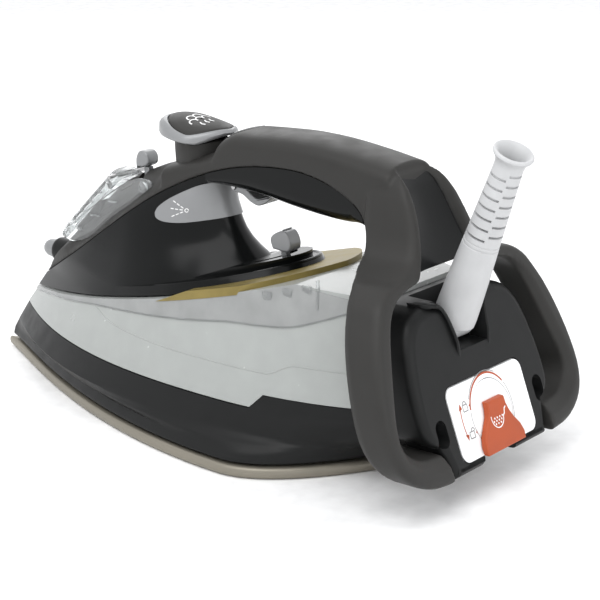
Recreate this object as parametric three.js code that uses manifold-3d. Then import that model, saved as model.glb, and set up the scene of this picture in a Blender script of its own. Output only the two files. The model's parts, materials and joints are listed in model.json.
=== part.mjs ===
// Cordless-style steam iron with a looped two-legged handle, in millimetres.
// Frame: X across, Y along the iron with the nose towards -Y, Z up.
// The origin lies on the underside of the soleplate.
import * as THREE from "three";
import { mergeVertices } from "three/addons/utils/BufferGeometryUtils.js";
import Module from "manifold-3d";

const wasm = await Module();
wasm.setup();

// ---- Driving dimensions -----------------------------------------------------
const GAP = 0.4; // clearance between fixed neighbours
const WALL = 2.4; // moulded wall thickness
const RING_STEPS = 16; // points along one side of a plan outline
const FAR = 200; // reach of a cutting tool past the iron

const SOLE = { snub: 0, nose: -152, tail: 113, half: 67, peak: 0.77, noseCurve: 1.85, noseSharp: 1.1,
  tailCurve: 1.9, blunt: 0.95 };
const SOLE_THICK = 5.2;
const SKIRT_BOTTOM = 6.4;
const TANK_BOTTOM = 27.4; // seam between skirt and tank along the sides
const TANK_STEP_Y = 62; // behind here the seam steps up
const TANK_STEP_Z = 33.6;
const TANK = { snub: 0, nose: -136, tail: 140, half: 52, peak: 0.63, noseCurve: 2.4, noseSharp: 1,
  tailCurve: 2, blunt: 0.55 };

const SEAM_START = [-127.2, 37.5]; // seam between tank and upper shell, at the nose
const SEAM_PULL = [-28.5, 54.2]; // control point of the seam's arc
const SEAM_END = [70, 82.2];

const LEAN = 0.363; // rearward lean of the heel, radians
const HEEL_Y = 142.8; // heel plane at height HEEL_Z
const HEEL_Z = 47;
const LEG_DEPTH = 18;
const COVER_DEPTH = 19;
const COVER_INSET = 1.6; // cover sits this far in front of the heel plane

const GRIP_HALF = 16.5;
const DIAL_Y = 20; // thermostat spindle
const DIAL_SLOT_R = 15;
const DIAL_SWEEP = 0.95; // half angle of the lever's arc slot
const PLATFORM_Z = 82;
const BOOST_Y = -19; // boost pump axis
const SPRAY_Y = -5; // spray pump axis
const KNOB_Y = -47; // steam control and its valve rod
const COLLECTOR_Z = 32.2;
const COLLECTOR_R = 14.2;
const SCREW_X = 36.8;
const SCREW_Z = 32; // middle of a screw's recess
const SCREW_AXIS_Z = 35; // height of a screw's axis at the heel plane
const BOOT_PIVOT = [0, 125.2, 65.5];
const BOOT_LEAN = 0.342; // from the pivot to the open end
const BOOT_LENGTH = 84;

// ---- Geometry helpers -------------------------------------------------------
function solid(geometry) {
  const bare = geometry.index ? geometry.toNonIndexed() : geometry.clone();
  bare.deleteAttribute("normal");
  bare.deleteAttribute("uv");
  const merged = mergeVertices(bare, 1e-4);
  return new wasm.Manifold(
    new wasm.Mesh({
      numProp: 3,
      vertProperties: merged.attributes.position.array,
      triVerts: new Uint32Array(merged.index.array),
    }),
  );
}

function geometryOf(body) {
  const mesh = body.getMesh();
  const geometry = new THREE.BufferGeometry();
  geometry.setAttribute("position", new THREE.BufferAttribute(mesh.vertProperties, 3));
  geometry.setIndex(new THREE.BufferAttribute(mesh.triVerts, 1));
  return geometry;
}

const vectors = (points) => points.map(([a, b]) => new THREE.Vector2(a, b));

// A closed outline that runs through its points as one smooth curve.
function curved(points, steps) {
  return new THREE.SplineCurve(vectors(points)).getPoints(steps);
}

const mirrored = (half) => [...half, ...half.slice().reverse().map((p) => new THREE.Vector2(-p.x, p.y))];

// Extrudes an outline; axes names the two world axes that the outline lies in.
function prism(axes, outline, from, to, options = {}) {
  const points = outline[0].isVector2 ? outline : vectors(outline);
  const geometry = new THREE.ExtrudeGeometry(new THREE.Shape(points), {
    depth: to - from - 2 * (options.bevelThickness ?? 0),
    bevelEnabled: false,
    ...options,
  });
  geometry.translate(0, 0, from + (options.bevelThickness ?? 0));
  const x = new THREE.Vector3(1, 0, 0);
  const y = new THREE.Vector3(0, 1, 0);
  const z = new THREE.Vector3(0, 0, 1);
  const basis = new THREE.Matrix4();
  if (axes === "yz") basis.makeBasis(y, z, x);
  if (axes === "xz") {
    geometry.translate(0, 0, -from - to);
    basis.makeBasis(x, z, y.clone().negate());
  }
  return geometry.applyMatrix4(basis);
}

const side = (outline, halfWidth, options) => solid(prism("yz", outline, -halfWidth, halfWidth, options));
const plan = (outline, from, to) => solid(prism("xy", outline, from, to));

// A slab parallel to the leaning heel plane. Its outline is (x, world height), and from and to
// are distances out of the heel plane.
function heelSlab(outline, from, to) {
  const scale = 1 / Math.cos(LEAN);
  const slope = Math.tan(LEAN);
  const lean = new THREE.Matrix4().makeShear(0, 0, 0, 0, 0, -slope);
  lean.setPosition(0, HEEL_Y + HEEL_Z * slope, 0);
  return solid(prism("xz", outline, from * scale, to * scale).applyMatrix4(lean));
}

function rounded(halfWidth, low, high, radius, steps = 4) {
  const shape = new THREE.Shape();
  shape.absarc(halfWidth - radius, low + radius, radius, -Math.PI / 2, 0);
  shape.absarc(halfWidth - radius, high - radius, radius, 0, Math.PI / 2);
  shape.absarc(radius - halfWidth, high - radius, radius, Math.PI / 2, Math.PI);
  shape.absarc(radius - halfWidth, low + radius, radius, Math.PI, 1.5 * Math.PI);
  return shape.getPoints(steps);
}

// A turned piece: profile is [radius, height] from bottom to top, closed on the axis.
function turned(profile, place = new THREE.Matrix4(), sides = 20) {
  const points = vectors(profile);
  if (THREE.ShapeUtils.area(points) < 0) points.reverse();
  return solid(new THREE.LatheGeometry(points, sides).rotateX(Math.PI / 2).applyMatrix4(place));
}

const rod = (radius, low, high) => [[0, low], [radius, low], [radius, high], [0, high]];
const tube = (inner, outer, low, high) =>
  [[inner, low], [outer, low], [outer, high], [inner, high], [inner, low]];
const at = (x, y, z = 0) => new THREE.Matrix4().makeTranslation(x, y, z);

// A turned piece's place on the heel: its axis points out of the heel plane.
function heelAxis(x, z) {
  const matrix = new THREE.Matrix4().makeTranslation(0, HEEL_Y, HEEL_Z);
  matrix.multiply(new THREE.Matrix4().makeRotationX(LEAN));
  matrix.multiply(new THREE.Matrix4().makeTranslation(x, 0, (z - HEEL_Z) / Math.cos(LEAN)));
  return matrix.multiply(new THREE.Matrix4().makeRotationX(-Math.PI / 2));
}

// A pin along X through the point (y, z), centred on the iron's middle plane.
function crossPin(radius, length, [y, z]) {
  const barrel = new THREE.CylinderGeometry(radius, radius, length, 12).rotateZ(Math.PI / 2);
  return solid(barrel.translate(0, y, z));
}

// A section swept along a smooth path through points.
function swept(radius, points, steps, sides = 8) {
  const section = new THREE.Shape();
  section.absarc(0, 0, radius, 0, 2 * Math.PI);
  const path = new THREE.CatmullRomCurve3(points.map((p) => new THREE.Vector3(...p)));
  const options = { steps, extrudePath: path, curveSegments: sides / 2, bevelEnabled: false };
  return solid(new THREE.ExtrudeGeometry(section, options));
}

// ---- Plan outlines and lofts ------------------------------------------------
// Half-width of a plan outline at the fraction t of its length, nose first.
function halfWidth(form, t) {
  if (t < form.peak) {
    const rise = 1 - Math.pow(1 - t / form.peak, form.noseCurve);
    return form.snub + (form.half - form.snub) * Math.pow(rise, form.noseSharp);
  }
  const fall = 1 - Math.pow((t - form.peak) / (1 - form.peak), form.tailCurve);
  return form.half * Math.pow(Math.max(fall, 0), form.blunt);
}

function ring(form, z) {
  const points = [];
  for (let i = 0; i <= RING_STEPS; i++) {
    const t = (1 - Math.cos((Math.PI * i) / RING_STEPS)) / 2;
    const reach = i === 0 || i === RING_STEPS ? 0 : halfWidth(form, t);
    points.push(new THREE.Vector3(reach, form.nose + (form.tail - form.nose) * t, z));
  }
  const otherSide = points.slice(1, -1).reverse().map((p) => new THREE.Vector3(-p.x, p.y, z));
  return [...points, ...otherSide];
}

const inset = (form, d) => ({
  ...form,
  nose: form.nose + 1.8 * d,
  tail: form.tail - d,
  half: form.half - d,
  snub: Math.max(form.snub - d, 0),
});

// Joins rings of equal point counts into one closed body, lowest ring first.
function loft(rings) {
  const count = rings[0].length;
  const positions = rings.flat().flatMap((p) => [p.x, p.y, p.z]);
  const index = [];
  for (let r = 0; r + 1 < rings.length; r++) {
    for (let i = 0; i < count; i++) {
      const a = r * count + i;
      const b = r * count + ((i + 1) % count);
      index.push(a, b, b + count, a, b + count, a + count);
    }
  }
  const flat = (points) => points.map((p) => new THREE.Vector2(p.x, p.y));
  const capOf = (points) => THREE.ShapeUtils.triangulateShape(flat(points), []);
  const top = (rings.length - 1) * count;
  for (const [a, b, c] of capOf(rings[0])) index.push(a, c, b);
  for (const [a, b, c] of capOf(rings[rings.length - 1])) index.push(top + a, top + b, top + c);
  const geometry = new THREE.BufferGeometry();
  geometry.setAttribute("position", new THREE.Float32BufferAttribute(positions, 3));
  geometry.setIndex(index);
  return solid(geometry);
}

const plate = (form, low, high) => loft([ring(form, low), ring(form, high)]);

// ---- Sole group -------------------------------------------------------------
function soleplate() {
  const body = loft([ring(inset(SOLE, 1.4), 0), ring(SOLE, 1.6), ring(inset(SOLE, 0.6), SOLE_THICK)]);
  let holes = null;
  for (let row = 0; row < 8; row++) {
    const y = -112 + row * 22;
    const t = (y - SOLE.nose) / (SOLE.tail - SOLE.nose);
    const x = halfWidth(SOLE, t) - 11;
    for (const sign of [-1, 1]) {
      const hole = turned(rod(1.7, -1, SOLE_THICK + 1), at(sign * x, y), 8);
      holes = holes ? holes.add(hole) : hole;
    }
  }
  return body.subtract(holes);
}

const CASTING = { ...SOLE, nose: -128, tail: 100, half: 54 };
const CHAMBER = { ...SOLE, nose: -64, tail: 56, half: 24, peak: 0.62 };
const ELEMENT_Z = 12.8;

function elementPath() {
  const half = [[22, 101, 24], [24, 97, 15], [30, 86, ELEMENT_Z], [40, 50, ELEMENT_Z], [38, 0, ELEMENT_Z],
    [22, -56, ELEMENT_Z]];
  return [...half, [0, -92, ELEMENT_Z], ...half.slice().reverse().map(([x, y, z]) => [-x, y, z])];
}

function heaterCasting() {
  const groove = swept(3.9, elementPath(), 36);
  const chamber = plate(inset(CHAMBER, 6), 8, 30);
  return plate(CASTING, SOLE_THICK + GAP, 12.2).subtract(groove).subtract(chamber);
}

function skirt() {
  const upper = { ...TANK, half: TANK.half + 0.6 };
  const outer = loft([
    ring(inset(SOLE, 1.6), SKIRT_BOTTOM),
    ring({ ...SOLE, nose: -147.5, tail: 115, half: 62.5, peak: 0.76 }, 11),
    ring({ ...upper, nose: -143.5, tail: 124, half: 57.5, peak: 0.66, tailCurve: 1.9, blunt: 0.6 }, 17),
    ring(upper, TANK_BOTTOM - GAP),
    ring({ ...upper, nose: -131, half: 50 }, TANK_STEP_Z - GAP),
  ]);
  const inner = loft([
    ring({ ...SOLE, nose: -140, tail: 107, half: 60 }, SKIRT_BOTTOM - 1),
    ring({ ...upper, nose: -135, tail: 120, half: 54, peak: 0.68, tailCurve: 1.9, blunt: 0.6 }, 17),
    ring({ ...inset(upper, 3.4), nose: -128 }, TANK_BOTTOM),
    ring({ ...inset(upper, 6), nose: -122 }, TANK_STEP_Z + 1),
  ]);
  const low = TANK_BOTTOM - GAP;
  const high = TANK_STEP_Z - GAP;
  const aboveSeam = side([[-FAR, low], [TANK_STEP_Y - 6, low], [TANK_STEP_Y, high], [FAR, high], [FAR, FAR],
    [-FAR, FAR]], FAR);
  return outer.subtract(inner).subtract(aboveSeam).subtract(heelSpace(-COVER_INSET - COVER_DEPTH - GAP));
}

// Everything behind a plane that lies the given distance out of the heel plane.
function heelSpace(offset) {
  return heelSlab([[-FAR, -FAR], [FAR, -FAR], [FAR, FAR], [-FAR, FAR]], offset, FAR);
}

// ---- Water tank and the seam above it ----------------------------------------
function seamArc(lift) {
  const corners = [SEAM_START, SEAM_PULL, SEAM_END];
  const [start, pull, end] = corners.map(([y, z]) => new THREE.Vector2(y, z + lift));
  return new THREE.QuadraticBezierCurve(start, pull, end).getPoints(10);
}

const TANK_RINGS = [[TANK_BOTTOM, -136, 52], [40, -125, 48.5], [52, -114, 45.5], [64, -103, 43], [76, -93, 40.5],
  [92, -80, 35]];
const tankRing = ([z, nose, half], d) => ring(inset({ ...TANK, nose, half }, d), z);

function tankSide(lift, floor, stepFloor, rearTop) {
  const roof = seamArc(lift);
  const outline = [[-FAR, floor], [TANK_STEP_Y - 6, floor], [TANK_STEP_Y, stepFloor], [FAR, stepFloor],
    [FAR, rearTop - 4], [72, rearTop + 3]];
  return side([...vectors(outline), ...roof.reverse(), new THREE.Vector2(-FAR, SEAM_START[1] + lift)], FAR);
}

function waterTank() {
  const envelope = tankSide(-GAP, TANK_BOTTOM, TANK_STEP_Z, 79);
  const outer = loft(TANK_RINGS.map((r) => tankRing(r, 0))).intersect(envelope);
  const low = TANK_BOTTOM + WALL;
  const high = TANK_STEP_Z + WALL;
  const cavitySide = side([[-FAR, low], [TANK_STEP_Y - 6, low], [TANK_STEP_Y, high], [104, high], [104, 73],
    [68, 76], [64, FAR], [-FAR, FAR]], FAR);
  const well = turned(rod(7.5, 0, 100), at(0, DIAL_Y), 16);
  const inner = loft(TANK_RINGS.map((r) => tankRing(r, WALL))).intersect(cavitySide).subtract(well);
  return outer
    .subtract(heelSpace(-COVER_INSET - COVER_DEPTH - GAP))
    .subtract(inner)
    .subtract(turned(rod(5, 0, 100), at(0, DIAL_Y), 16))
    .subtract(turned(rod(2.4, 0, 40), at(0, KNOB_Y), 12));
}

// Gold-tone plate on the tank's top, around the dial platform.
function dialPlate() {
  const outline = { snub: 0, nose: -48, tail: 68.5, half: 41.5, peak: 0.66, noseCurve: 2, noseSharp: 0.8,
    tailCurve: 2.1, blunt: 0.75 };
  const band = side([...seamArc(GAP / 2), ...seamArc(2).reverse()], FAR);
  const opening = plate({ ...SHELL_LOW, nose: -140, tail: 52, half: 30 }, 0, FAR);
  return plate(outline, 0, FAR).intersect(band).subtract(opening);
}

// ---- Upper shell: nose, column and dial platform ------------------------------
const SHELL_LOW = { snub: 0, nose: -127, tail: 60, half: 38, peak: 0.62, noseCurve: 1.7, noseSharp: 1,
  tailCurve: 2.4, blunt: 0.5 };
// Each ring: height, nose, tail, half-width, width of the nose's flat, and how full the front is.
const SHELL_RINGS = [
  [34, -131, 61, 38.5, 0, 1.7],
  [50, -115, 60, 38, 3.5, 1.7],
  [62, -105, 58.5, 37, 9, 1.4],
  [72, -97, 56.5, 35.5, 11.5, 1.1],
  [78, -92.5, 54.5, 32.5, 12.5, 1.1],
  [PLATFORM_Z, -89, 52, 28, 13, 1.1],
  [PLATFORM_Z + 0.4, -88.6, 27, 22, 13, 1.1],
  [86, -85.5, 20, 19, 13.5, 1.2],
  [92, -79, 13.5, 17.4, 14, 1.3],
  [100, -70, 7.5, 16.4, 14.5, 1.4],
  [108, -61, 4, 16, 15, 1.5],
  [124, -44, 3, 16, 15, 1.5],
];

function shellRing([z, nose, tail, half, snub, noseCurve], d) {
  return ring(inset({ ...SHELL_LOW, nose, tail, half, snub, noseCurve }, d), z);
}

// Lower edge of the handle's skin, from the nose up over the column and down to the legs.
const SKIN_EDGE = [[-119.6, 46], [-85.5, 64.5], [-53, 86], [-30.5, 101], [-8, 112.5], [10, 119], [28, 123],
  [48, 124.6], [62, 123.4], [74, 120], [84, 115], [89, 110.5], [91, 105]];
// Underside of the grip, from the column back to the legs.
const GRIP_UNDER = [[5, 106.5], [18, 107.5], [34, 106], [50, 103.4], [66, 101.8], [78, 102.4], [91, 105]];

// Everything under the handle's skin, as a side outline.
function belowSkin(drop) {
  const edge = curved(SKIN_EDGE.slice(0, 7), 16).map((p) => new THREE.Vector2(p.x + drop, p.y - drop));
  return [...vectors([[-FAR, -FAR], [-FAR, edge[0].y - 40]]), ...edge, ...vectors([[FAR, 122], [FAR, -FAR]])];
}

function upperShell() {
  const outer = loft(SHELL_RINGS.map((r) => shellRing(r, 0)));
  const inner = loft(SHELL_RINGS.slice(0, -1).map((r) => shellRing([r[0] - WALL, ...r.slice(1)], WALL)));
  const aboveSeam = side([...seamArc(GAP), new THREE.Vector2(FAR, FAR), new THREE.Vector2(-FAR, FAR),
    new THREE.Vector2(-FAR, SEAM_START[1] + GAP)], FAR);
  const slot = arcSlot(DIAL_SLOT_R - 2.2, DIAL_SLOT_R + 2.2, DIAL_SWEEP + 0.1, 76, PLATFORM_Z + 3);
  return outer
    .subtract(inner)
    .intersect(aboveSeam)
    .intersect(side(belowSkin(GAP), FAR))
    .subtract(side([[6.6, 99.5], [FAR, 99.5], [FAR, FAR], [6.6, FAR]], FAR))
    .subtract(slot)
    .subtract(dialPlate())
    .subtract(nozzleHole(7))
    .subtract(turned(rod(4.6, 90, 140), at(0, BOOST_Y), 16))
    .subtract(fillerShaft(1));
}

// Ring sector round the thermostat spindle, open side towards the rear.
function arcSlot(inner, outer, sweep, low, high) {
  const shape = new THREE.Shape();
  shape.absarc(0, DIAL_Y, outer, Math.PI / 2 - sweep, Math.PI / 2 + sweep, false);
  shape.absarc(0, DIAL_Y, inner, Math.PI / 2 + sweep, Math.PI / 2 - sweep, true);
  return plan(shape.getPoints(8), low, high);
}

// Thin silver sleeve round the column, rising to the rear.
function collar() {
  const grown = (d) => loft(SHELL_RINGS.slice(5).map((r) => shellRing(r, -d)));
  const leaf = [...curved([[-47, 86.5], [-36, 92.5], [-20, 98.5], [-6, 103], [6, 104.5]], 10),
    ...curved([[30, 104.5], [30, 93], [5, 89], [-14, 85.8], [-32, 84.6], [-47, 86.5]], 10).slice(0, -1)];
  return grown(1.6).subtract(grown(GAP)).intersect(side(leaf, FAR));
}

const noseAxis = at(0, 0, 58.6).multiply(new THREE.Matrix4().makeRotationX(-Math.PI / 2));
const nozzleHole = (radius) => turned(rod(radius, -120, -92), noseAxis, 20);

// The vertical filler shaft below the door.
const FILLER = { x: 7, front: -89, rear: -74 };
function fillerShaft(grow) {
  const x = FILLER.x + grow;
  const front = FILLER.front - grow;
  const rear = FILLER.rear + grow;
  return plan([[-x, front], [x, front], [x, rear], [-x, rear]], 48, FAR);
}

function fillerNeck() {
  const slope = SLOPE.map(([y, z]) => [y, z - 0.3]);
  const slopeTop = side([[-FAR, -FAR], [-FAR, -30], ...slope, [-40, -FAR]], FAR);
  const funnel = fillerShaft(0.6).intersect(slopeTop);
  const bore = fillerShaft(-1.4).translate([0, 0, -20]);
  return funnel.subtract(bore);
}

// ---- Handle -------------------------------------------------------------------
// Top line: straight nose slope, step to the boost button, then the grip's ridge.
const SLOPE = [[-121, 44.6], [-102, 64], [-84, 82], [-62, 101.5], [-50, 107.4], [-36, 113.2]];
const RIDGE = [[6, 131.8], [14, 135.6], [32, 137.4], [48, 138.4], [66, 137.6], [86, 135.2], [102, 132.6]];
const NECK_REAR = [[107, 124.5], [113, 119], [118, 112], [121.5, 102], [124, 94], [127.5, 86]];
const NECK_FRONT = [[110, 84], [103, 88], [98, 92], [96.5, 98], [94.5, 103.5], [91.3, 105]];

// The grip is built up in steps: each is wider and has its ridge lowered, to follow a rounded top.
const GRIP_STEPS = [[9, 0], [13, 1.4], [GRIP_HALF, 4.2]];

function handleSideOutline(drop) {
  const lower = curved(SKIN_EDGE, 22).reverse();
  const saddle = vectors([[-2, 124 - drop / 2], [5.8, 126.2 - drop / 2]]);
  const ridge = curved(RIDGE, 12).map((p) => new THREE.Vector2(p.x, p.y - drop));
  const upper = [...vectors(SLOPE), ...saddle, ...ridge];
  return [new THREE.Vector2(97, 107), ...lower, ...upper, new THREE.Vector2(104, 124)];
}

const LEG_OUTER = [[15.5, 131], [16.5, 124], [18.5, 117], [20, 110], [23, 103], [28, 97.5], [38, 93], [47, 90.5],
  [54, 86], [59, 79], [63.5, 71], [67.5, 61], [70.5, 50], [72, 40], [71, 31], [67, 23], [60, 17.5], [50, 14],
  [36, 12.8]];
const LEG_INNER = [[39, 24.5], [48, 25], [55.5, 27], [60.5, 31], [62.5, 36.4], [62, 42], [59, 51], [55, 63],
  [52, 71], [49, 77.5], [45.5, 82.3], [39, 86.5], [30, 88.5], [20, 90]];
const NOTCH = [[9.5, 140], [10.5, 124], [12.5, 112], [16, 100], [20, 90], [20, 60]];

function legs() {
  const outer = curved(LEG_OUTER, 28);
  const neckOutline = mirrored(curved(LEG_OUTER.slice(0, 9), 20));
  const top = vectors([[90, 106], [88, 126], [99, 130]]);
  const neckSide = [...vectors(NECK_FRONT), ...top, ...curved(NECK_REAR, 10)];
  const neck = solid(prism("xz", neckOutline, 80, 140)).intersect(side(neckSide, FAR));
  const ringOutline = [...outer.slice(8), ...curved(LEG_INNER, 18)];
  const left = heelSlab(ringOutline.map((p) => new THREE.Vector2(-p.x, p.y)).reverse(), -LEG_DEPTH, 0);
  return neck.add(heelSlab(ringOutline, -LEG_DEPTH, 0)).add(left);
}

function notchTool(grow, depth) {
  const outline = mirrored(vectors(NOTCH.map(([x, z]) => [x + grow, z])));
  const valley = [[104.5, 133.5], [112.5, 112], [119.4, 92 - grow], [119.4, 60]];
  const floor = valley.map(([y, z]) => [y - depth, z]);
  const behind = side([...floor, [FAR, 60], [FAR, FAR], [100 - depth, FAR]], FAR);
  return solid(prism("xz", outline, 60, FAR)).intersect(behind);
}

function handleShell() {
  const steps = GRIP_STEPS.map(([half, drop]) => side(handleSideOutline(drop), half));
  const grip = steps.reduce((a, b) => a.add(b));
  const front = loft(SHELL_RINGS.map((r) => shellRing(r, 0)));
  const behindNose = plan([[-FAR, -8], [FAR, -8], [FAR, FAR], [-FAR, FAR]], 0, FAR);
  const wiringChannel = plan([[-8, 12], [8, 12], [8, 84], [-8, 84]], 100, 131);
  return grip
    .intersect(front.add(behindNose))
    .add(legs())
    .subtract(notchTool(0, 6))
    .subtract(wiringChannel)
    .subtract(nozzleHole(7))
    .subtract(fillerShaft(1))
    .subtract(turned(rod(4.6, 90, 140), at(0, BOOST_Y), 16))
    .subtract(knobSlot())
    .subtract(lensPocket());
}

function gripUnderside() {
  const top = curved(SKIN_EDGE, 22).filter((p) => p.x > 7.5).map((p) => new THREE.Vector2(p.x, p.y - GAP));
  const under = curved(GRIP_UNDER, 14).filter((p) => p.x > 7.5 && p.x < 90).reverse();
  const edge = { bevelEnabled: true, bevelThickness: 3, bevelSize: 2, bevelOffset: -2, bevelSegments: 2 };
  const shell = side([...under, ...top.slice(0, -2)], 15.6, edge);
  const pocket = plan([[-6.6, 5], [6.6, 5], [6.6, 34], [-6.6, 34]], 90, 114);
  return shell.subtract(pocket);
}

function rearPanel() {
  const strip = [[99.4, 133], [107.4, 112], [114.3, 92.4], [119.4, 92.4], [112.5, 112], [104.6, 130.4]];
  const slab = side(strip, FAR);
  const outline = NOTCH.slice(0, 5).map(([x, z]) => [x - GAP, Math.min(z, 128)]);
  return solid(prism("xz", mirrored(vectors(outline)), 60, FAR)).intersect(slab);
}

// ---- Boost button ----------------------------------------------------------------
const CAP = { snub: 3, nose: -38.8, tail: 5, half: 17.5, peak: 0.6, noseCurve: 2.4, noseSharp: 0.75,
  tailCurve: 1.6, blunt: 0.8 };
const CAP_RIDGE = [[-60, 133], [-39, 134], [-34.5, 137], [-27, 138.7], [-18, 138.3], [6, 134.2], [30, 130]];
const capTop = (d) => side([[-60, 60], ...CAP_RIDGE.map(([y, z]) => [y, z - d]), [30, 60]], FAR);

function boostRim() {
  const underside = [[-60, 129.6], [-39, 129.6], [-6, 127.4], [3, 131.8], [30, 131.8], [30, 60], [-60, 60]];
  const below = side(underside, FAR);
  const body = plate(CAP, 100, 160).intersect(capTop(0)).subtract(below);
  const cavity = plate(inset(CAP, 3), 100, 133);
  const padSeat = plate(inset(CAP, 1.6), 100, 160).subtract(capTop(1.8));
  return body.subtract(cavity).subtract(padSeat);
}

const boostPad = () => plate(inset(CAP, 2), 100, 160).intersect(capTop(0)).subtract(capTop(1.4));

function boostBase() {
  const body = plate(inset(CAP, 4), 100, 127.6);
  const saddle = [...SLOPE.slice(4), [-2, 124], [5.8, 126.2]].map(([y, z]) => [y, z + GAP]);
  const overHandle = side([[-60, 90], [-60, 104], ...saddle, [40, 131], [40, 90]], FAR);
  return body.subtract(overHandle).subtract(turned(rod(4.6, 90, 140), at(0, BOOST_Y), 16));
}

// ---- Steam control -----------------------------------------------------------------
const KNOB_PIVOT = [0, KNOB_Y - 1.5, 96.5];

function knobSlot() {
  const slot = new THREE.BoxGeometry(14, 4.6, 30).translate(0, 0, 12);
  const chamber = new THREE.BoxGeometry(14, 9.4, 20).translate(0, 0, -3.6);
  return solid(slot).add(solid(chamber)).translate(KNOB_PIVOT);
}

function steamKnob() {
  const stem = new THREE.BoxGeometry(3.4, 3.2, 16).translate(0, 0, 8);
  const pivot = new THREE.CylinderGeometry(2.6, 2.6, 8, 14);
  const edge = { bevelEnabled: true, bevelThickness: 1.2, bevelSize: 1, bevelOffset: -1, bevelSegments: 2 };
  const outline = [[-4.8, 12], [2.2, 14.6], [3, 18.4], [0.8, 21.2], [-3, 21], [-5.2, 17]];
  const cap = prism("yz", outline, -4, 4, edge);
  return solid(stem).add(solid(cap)).add(solid(pivot)).translate(KNOB_PIVOT);
}

const VALVE_ROD = [[0, 36.5], [1.1, 38], [1.6, 39], [1.6, 89], [3, 89.4], [3, 91], [0, 91]];
const VALVE_FLOOR = TANK_BOTTOM + WALL + GAP;
const VALVE_SEAT = [[0.9, 16.6], [1.9, 16.6], [1.9, VALVE_FLOOR], [5.2, VALVE_FLOOR], [5.2, 35], [2.2, 36],
  [0.9, 34], [0.9, 16.6]];

// ---- Filler door --------------------------------------------------------------------
const DOOR_HINGE = [-63.5, 104.4];

function fillerDoor() {
  const outer = [[-106, 68.6], [-101, 66.6], [-99.6, 67.8], [-66, 99.6], [-62.6, 102.3], [-60.8, 104],
    [-61.4, 106.4], [-63.4, 107.4], [-66.5, 107.2], [-85.5, 89.2]];
  const edge = { bevelEnabled: true, bevelThickness: 2, bevelSize: 1.2, bevelOffset: -1.2, bevelSegments: 1 };
  const body = side(outer, 11.5, edge);
  const hollow = side([[-99, 67], [-67, 97.6], [-69, 102.4], [-85, 86.6], [-98.5, 73.4]], 8.6);
  return body.subtract(hollow).subtract(crossPin(1.3, 40, DOOR_HINGE));
}

// ---- Trigger, lens and nozzle ---------------------------------------------------------
const TRIGGER_HINGE = [9.5, 109.4];

function sprayTrigger() {
  const outline = [[8, 107.2], [14, 106.4], [19, 103.6], [23.5, 102.6], [28, 104.6], [31, 107.6], [28, 107.4],
    [23, 105.8], [19, 107.6], [14, 111], [9.5, 112], [7.2, 110]];
  return side(curved(outline, 26), 5.6).subtract(crossPin(1.4, 40, TRIGGER_HINGE));
}

const lensPocket = () => plan(crescent(0), 134.2, 150);

function crescent(d) {
  const shape = new THREE.Shape();
  shape.absarc(0, -8, 24.5 - d, Math.PI / 2 - 0.5, Math.PI / 2 + 0.5, false);
  shape.absarc(0, -8, 20.5 + d, Math.PI / 2 + 0.5, Math.PI / 2 - 0.5, true);
  return shape.getPoints(6);
}

function indicatorLens() {
  const underRidge = side([[0, 100], ...RIDGE.slice(0, 3), [40, 100]], FAR);
  return plan(crescent(0.4), 134.5, 150).intersect(underRidge);
}

const NOZZLE_HOUSING = [[2.2, -111], [2.2, -94], [6.4, -94], [6.4, -112.8], [5.6, -114], [4.8, -114],
  [4.8, -111], [2.2, -111]];
const NOZZLE_TIP = [[0.6, -111.4], [4.2, -111.4], [4.2, -115.4], [3.4, -117.8], [1.6, -118.9], [0.6, -118.9],
  [0.6, -111.4]];

function sprayTube() {
  const path = [[0, -92.4, 58.6], [5.6, -92.2, 58.4], [9.6, -89.6, 57.8], [10.4, -82, 56.8], [11.4, -70, 56.6],
    [12, -46, 60], [12, -20, 68], [10, -8, 74], [7.4, SPRAY_Y, 77]];
  return swept(1.2, path, 24);
}

const SPRAY_PUMP = [[0, 76], [5.6, 76], [5.6, 92], [3.2, 92], [3.2, 79], [0, 79]];
const BOOST_PUMP = [[0, 70], [7, 70], [7, 98], [3.4, 98], [3.4, 74], [0, 74]];
const BOOST_PLUNGER = [[0, 78.5], [3, 78.5], [3, 112.6], [4.2, 112.6], [4.2, 113.8], [3, 113.8], [3, 132.6],
  [0, 132.6]];

function springCoil(radius, wire, low, high, turns, x, y) {
  const points = [];
  for (let i = 0; i <= turns * 10; i++) {
    const angle = (i / 10) * 2 * Math.PI;
    const z = low + ((high - low) * i) / (turns * 10);
    points.push([x + radius * Math.cos(angle), y + radius * Math.sin(angle), z]);
  }
  return swept(wire, points, turns * 12, 5);
}

// ---- Thermostat ------------------------------------------------------------------------
const THERMOSTAT_BODY = [[0, 16.6], [11, 16.6], [11, 24], [6, 26], [0, 26]];
const DIAL_DISC = [[0, 26.6], [3, 26.6], [3, 76.2], [17.8, 76.2], [17.8, 78.2], [0, 78.2]];

function thermostatLever() {
  const disc = turned(DIAL_DISC, at(0, DIAL_Y), 24);
  const stem = solid(new THREE.BoxGeometry(3.2, 3.4, 10).translate(0, DIAL_Y + DIAL_SLOT_R, 82));
  const edge = { bevelEnabled: true, bevelThickness: 1, bevelSize: 0.8, bevelOffset: -0.8, bevelSegments: 1 };
  const thumb = side([[30.4, 83.4], [39.2, 83.4], [41, 87.6], [38, 92.4], [33.4, 92], [29, 88.6]], 4.2, edge);
  return disc.add(stem).add(thumb);
}

// ---- Heel: cover, label plate, collector and cord boot -------------------------------------
const COVER = [[26, 79.2], [35, 76.5], [41, 70], [44.4, 61], [46.6, 50], [47.4, 40], [46.4, 32], [43.4, 28.4],
  [38.7, 26.2], [35, 12.6]];

function coverOutline(d) {
  const lifted = (z) => (z > 50 ? z - d : z + (z < 25 ? d : 0));
  return mirrored(COVER.map(([x, z]) => new THREE.Vector2(x - d, lifted(z))));
}

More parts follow.
